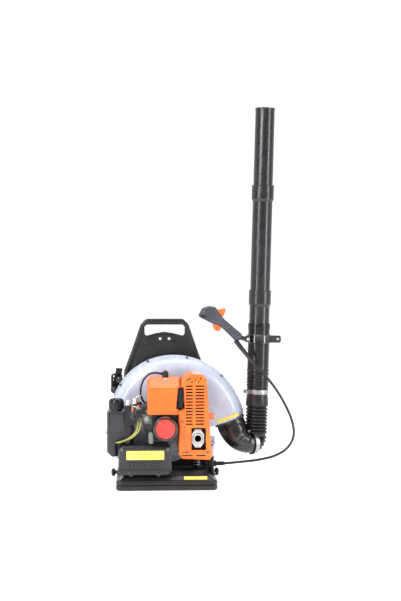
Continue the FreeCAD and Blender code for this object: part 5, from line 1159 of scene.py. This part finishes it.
def stuffed(name, mesh, cap, floor_y):
    """The mesh remeshed and, by a cloth pressure run, blown up by at most cap millimetres."""
    thing = bpy.data.objects.new(name, mesh)
    bpy.context.collection.objects.link(thing)
    voxels = thing.modifiers.new("voxels", "REMESH")
    voxels.mode, voxels.voxel_size = "VOXEL", 0.005
    scene = bpy.context.scene
    even = bpy.data.meshes.new_from_object(thing.evaluated_get(
        bpy.context.evaluated_depsgraph_get()))
    thing.modifiers.clear()
    thing.data = even
    cloth = thing.modifiers.new("cloth", "CLOTH")
    cloth.settings.use_pressure = True
    cloth.settings.uniform_pressure_force = 4
    cloth.settings.effector_weights.gravity = 0
    for frame_number in range(1, 21):
        scene.frame_set(frame_number)
    swollen = thing.evaluated_get(bpy.context.evaluated_depsgraph_get()).data
    moved = [Vector(vertex.co) for vertex in swollen.vertices]
    thing.modifiers.clear()
    scene.frame_set(1)
    for vertex, place in zip(even.vertices, moved):
        shift = place - vertex.co
        if shift.length > cap * MM:
            shift *= cap * MM / shift.length
        vertex.co += shift
        vertex.co.y = max(vertex.co.y, floor_y * MM)
    bpy.data.objects.remove(thing)
    return even


def back_pad():
    """The crowned back pad with its sewn channels, piping and mesh cloth face."""
    low, high = (Vector(c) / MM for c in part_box("back_pad"))
    half = high.x - 7
    face = [(half, low.z + 7), (half, 300), (76, high.z - 7), (-76, high.z - 7), (-half, 300),
            (-half, low.z + 7)]
    form = plate("pad_form", [smooth_outline(face, 22)], low.y + 1.5, high.y - 8, 5, 4)
    mesh = stuffed("pad_form", form, 7, low.y + 0.5)
    for vertex in mesh.vertices:
        x, y, z = vertex.co / MM
        if y > (low.y + high.y) / 2 - 4:
            crown = 3.5 * (1 - (x / half) ** 2)
            groove = sum(math.exp(-((z - line) / 4.5) ** 2) for line in (178, 236, 294, 350))
            groove += 0.9 * math.exp(-(x / 5.5) ** 2)
            vertex.co.y += (crown - 6.0 * min(groove, 1.1)) * MM
    mesh.shade_smooth()
    pad = piece("back_cushion", mesh, "machine", "pad_cloth", ["back_pad"])
    pad.modifiers.new("fine", "SUBSURF").levels = 1
    pad.modifiers["fine"].render_levels = 1
    rim = [Vector((u * MM, (low.y + 7) * MM, v * MM))
           for u, v in smooth_outline([(u * 1.05, v + (6 if v > 260 else -6)) for u, v in face],
                                      24, 8)]
    rim = rim + rim[:2]
    piece("cushion_piping", hose_mesh("cushion_piping", rim, lambda part: 0.0022, 12), "machine",
          "webbing")


def harness_fittings():
    """The round knobs on the base and the buckle with its webbing beside the casing."""
    bm = bmesh.new()
    for side in (-1, 1):
        lathe(bm, [(0.4, -2), (6, -2), (6, 5), (10.5, 6), (12.4, 8), (12.8, 11), (12, 14.5),
                   (9, 17),
                   (4, 18.2), (0.4, 18.3)],
              turned((side, 0, 0), (side * 148, 72, 21)), 48, closed=False)
    mesh = finished(bm, "base_knobs", 40)
    piece("base_knobs", mesh, "machine", "black_plastic", ["strap_buckles"])
    slots = [rounded_box((-161, z), (-139, z + 6), 2) for z in (270, 283, 296, 307)]
    body = plate("harness_buckle", [rounded_box((-168, 262), (-132, 319), 9)] + slots, 149, 159,
                 3.5,
                 4)
    knob = bmesh.new()
    for z in (268, 300):
        lathe(knob, [(0.4, 0), (10, 0), (11, 2), (11, 8), (9, 11), (0.4, 12)],
              turned((-0.35, -1, 0), (-156 + (z - 268) * 0.5, 150, z)), 40, closed=False)
    piece("harness_buckle", joined("harness_buckle", [body], knob, 40), "machine", "black_plastic")
    line = smooth_path("hanging_web", [(-142, 146, 336), (-143, 153, 322), (-150, 160, 300),
                                       (-152, 160, 272), (-146, 154, 240), (-136, 150, 200)])
    piece("side_webbing", strap_mesh("side_webbing", line, band_section(20, 1.8)), "machine",
          "webbing")


def handle_clamp():
    """The glossy ring that holds the hand grip, with its lug, its drilled ear and its bolt."""
    place = turned(TUBE_AXIS, TUBE_FOOT)
    bm = bmesh.new()
    lathe(bm, [(33.3, 308), (36.4, 308), (37.4, 309), (37.4, 311), (36.8, 312.4), (36.8, 329.6),
               (37.4, 331), (37.4, 333), (36.4, 334), (33.3, 334)], place)
    ear = plate("ear", [smooth_outline([(33, 309.5), (63, 309.5), (67.5, 314), (67.5, 328),
                                        (63, 332.5), (33, 332.5)], 4),
                        circle_points((57.5, 321), 3.2)], -16, -7, 2.6, 3, place)
    lug = plate("lug", [smooth_outline([(-48, 311), (-30, 311), (-30, 331), (-44, 331), (-48, 327)],
                                       5)], -42, -22, 3, 4, place)
    neck = plate("neck", [smooth_outline([(-66, 318), (-44, 314), (-44, 327), (-62, 333)], 4)],
                 -40, -26, 3.5, 4, place)
    piece("clamp_ring", joined("clamp_ring", [ear, lug, neck], bm, 38), "tube", "gloss_black",
          ["handle_clamp"])
    bm = bmesh.new()
    lathe(bm, [(0.4, -3), (5.2, -3), (5.2, 2.4), (3, 2.8), (3, 5), (0.4, 5)],
          place @ turned((0, -1, 0), (-37, -42, 321)), 6, closed=False)
    piece("clamp_screw", finished(bm, "clamp_screw", 30), "tube", "chrome_plate")


def worm_screws():
    """The tightening screws of the two band clamps."""
    up = Vector((0, 0, 1))
    for name, at, axis, body in (
            ("tube_clamp_screw", TUBE_FOOT + TUBE_AXIS * 157.5 + Vector((-36, -10, 0)),
             (0.2, -1, 0),
             "tube"),
            ("mouth_clamp_screw", MOUTH - LEAVING * 2 + up * 36, (0, -1, 0.1), "machine")):
        bm = bmesh.new()
        place = turned(axis, at)
        lathe(bm, [(0.4, -8), (4, -8), (4.6, -7), (4.6, 6), (3, 6.5), (3, 9), (5, 9.4), (5, 13),
                   (4.4, 13.6), (0.4, 13.6)], place, 32, closed=False)
        block(bm, (-6, -2, -7), (6, 6, 5), place)
        piece(name, finished(bm, name, 32), body, "zinc")


camera()
bpy.context.scene.view_settings.view_transform = "Standard"
studio()
make_materials()
throttle_cable()
back_frame()
casing()
elbow()
bellows()
pipes()
grip()
starter()
air_cleaner()
tank()
cover_hole_shade()
fuel_cap()
carburettor_fittings()
shoulder_strap(-1, "left")
shoulder_strap(1, "right")
back_pad()
harness_fittings()
handle_clamp()
worm_screws()
dress_nodes()
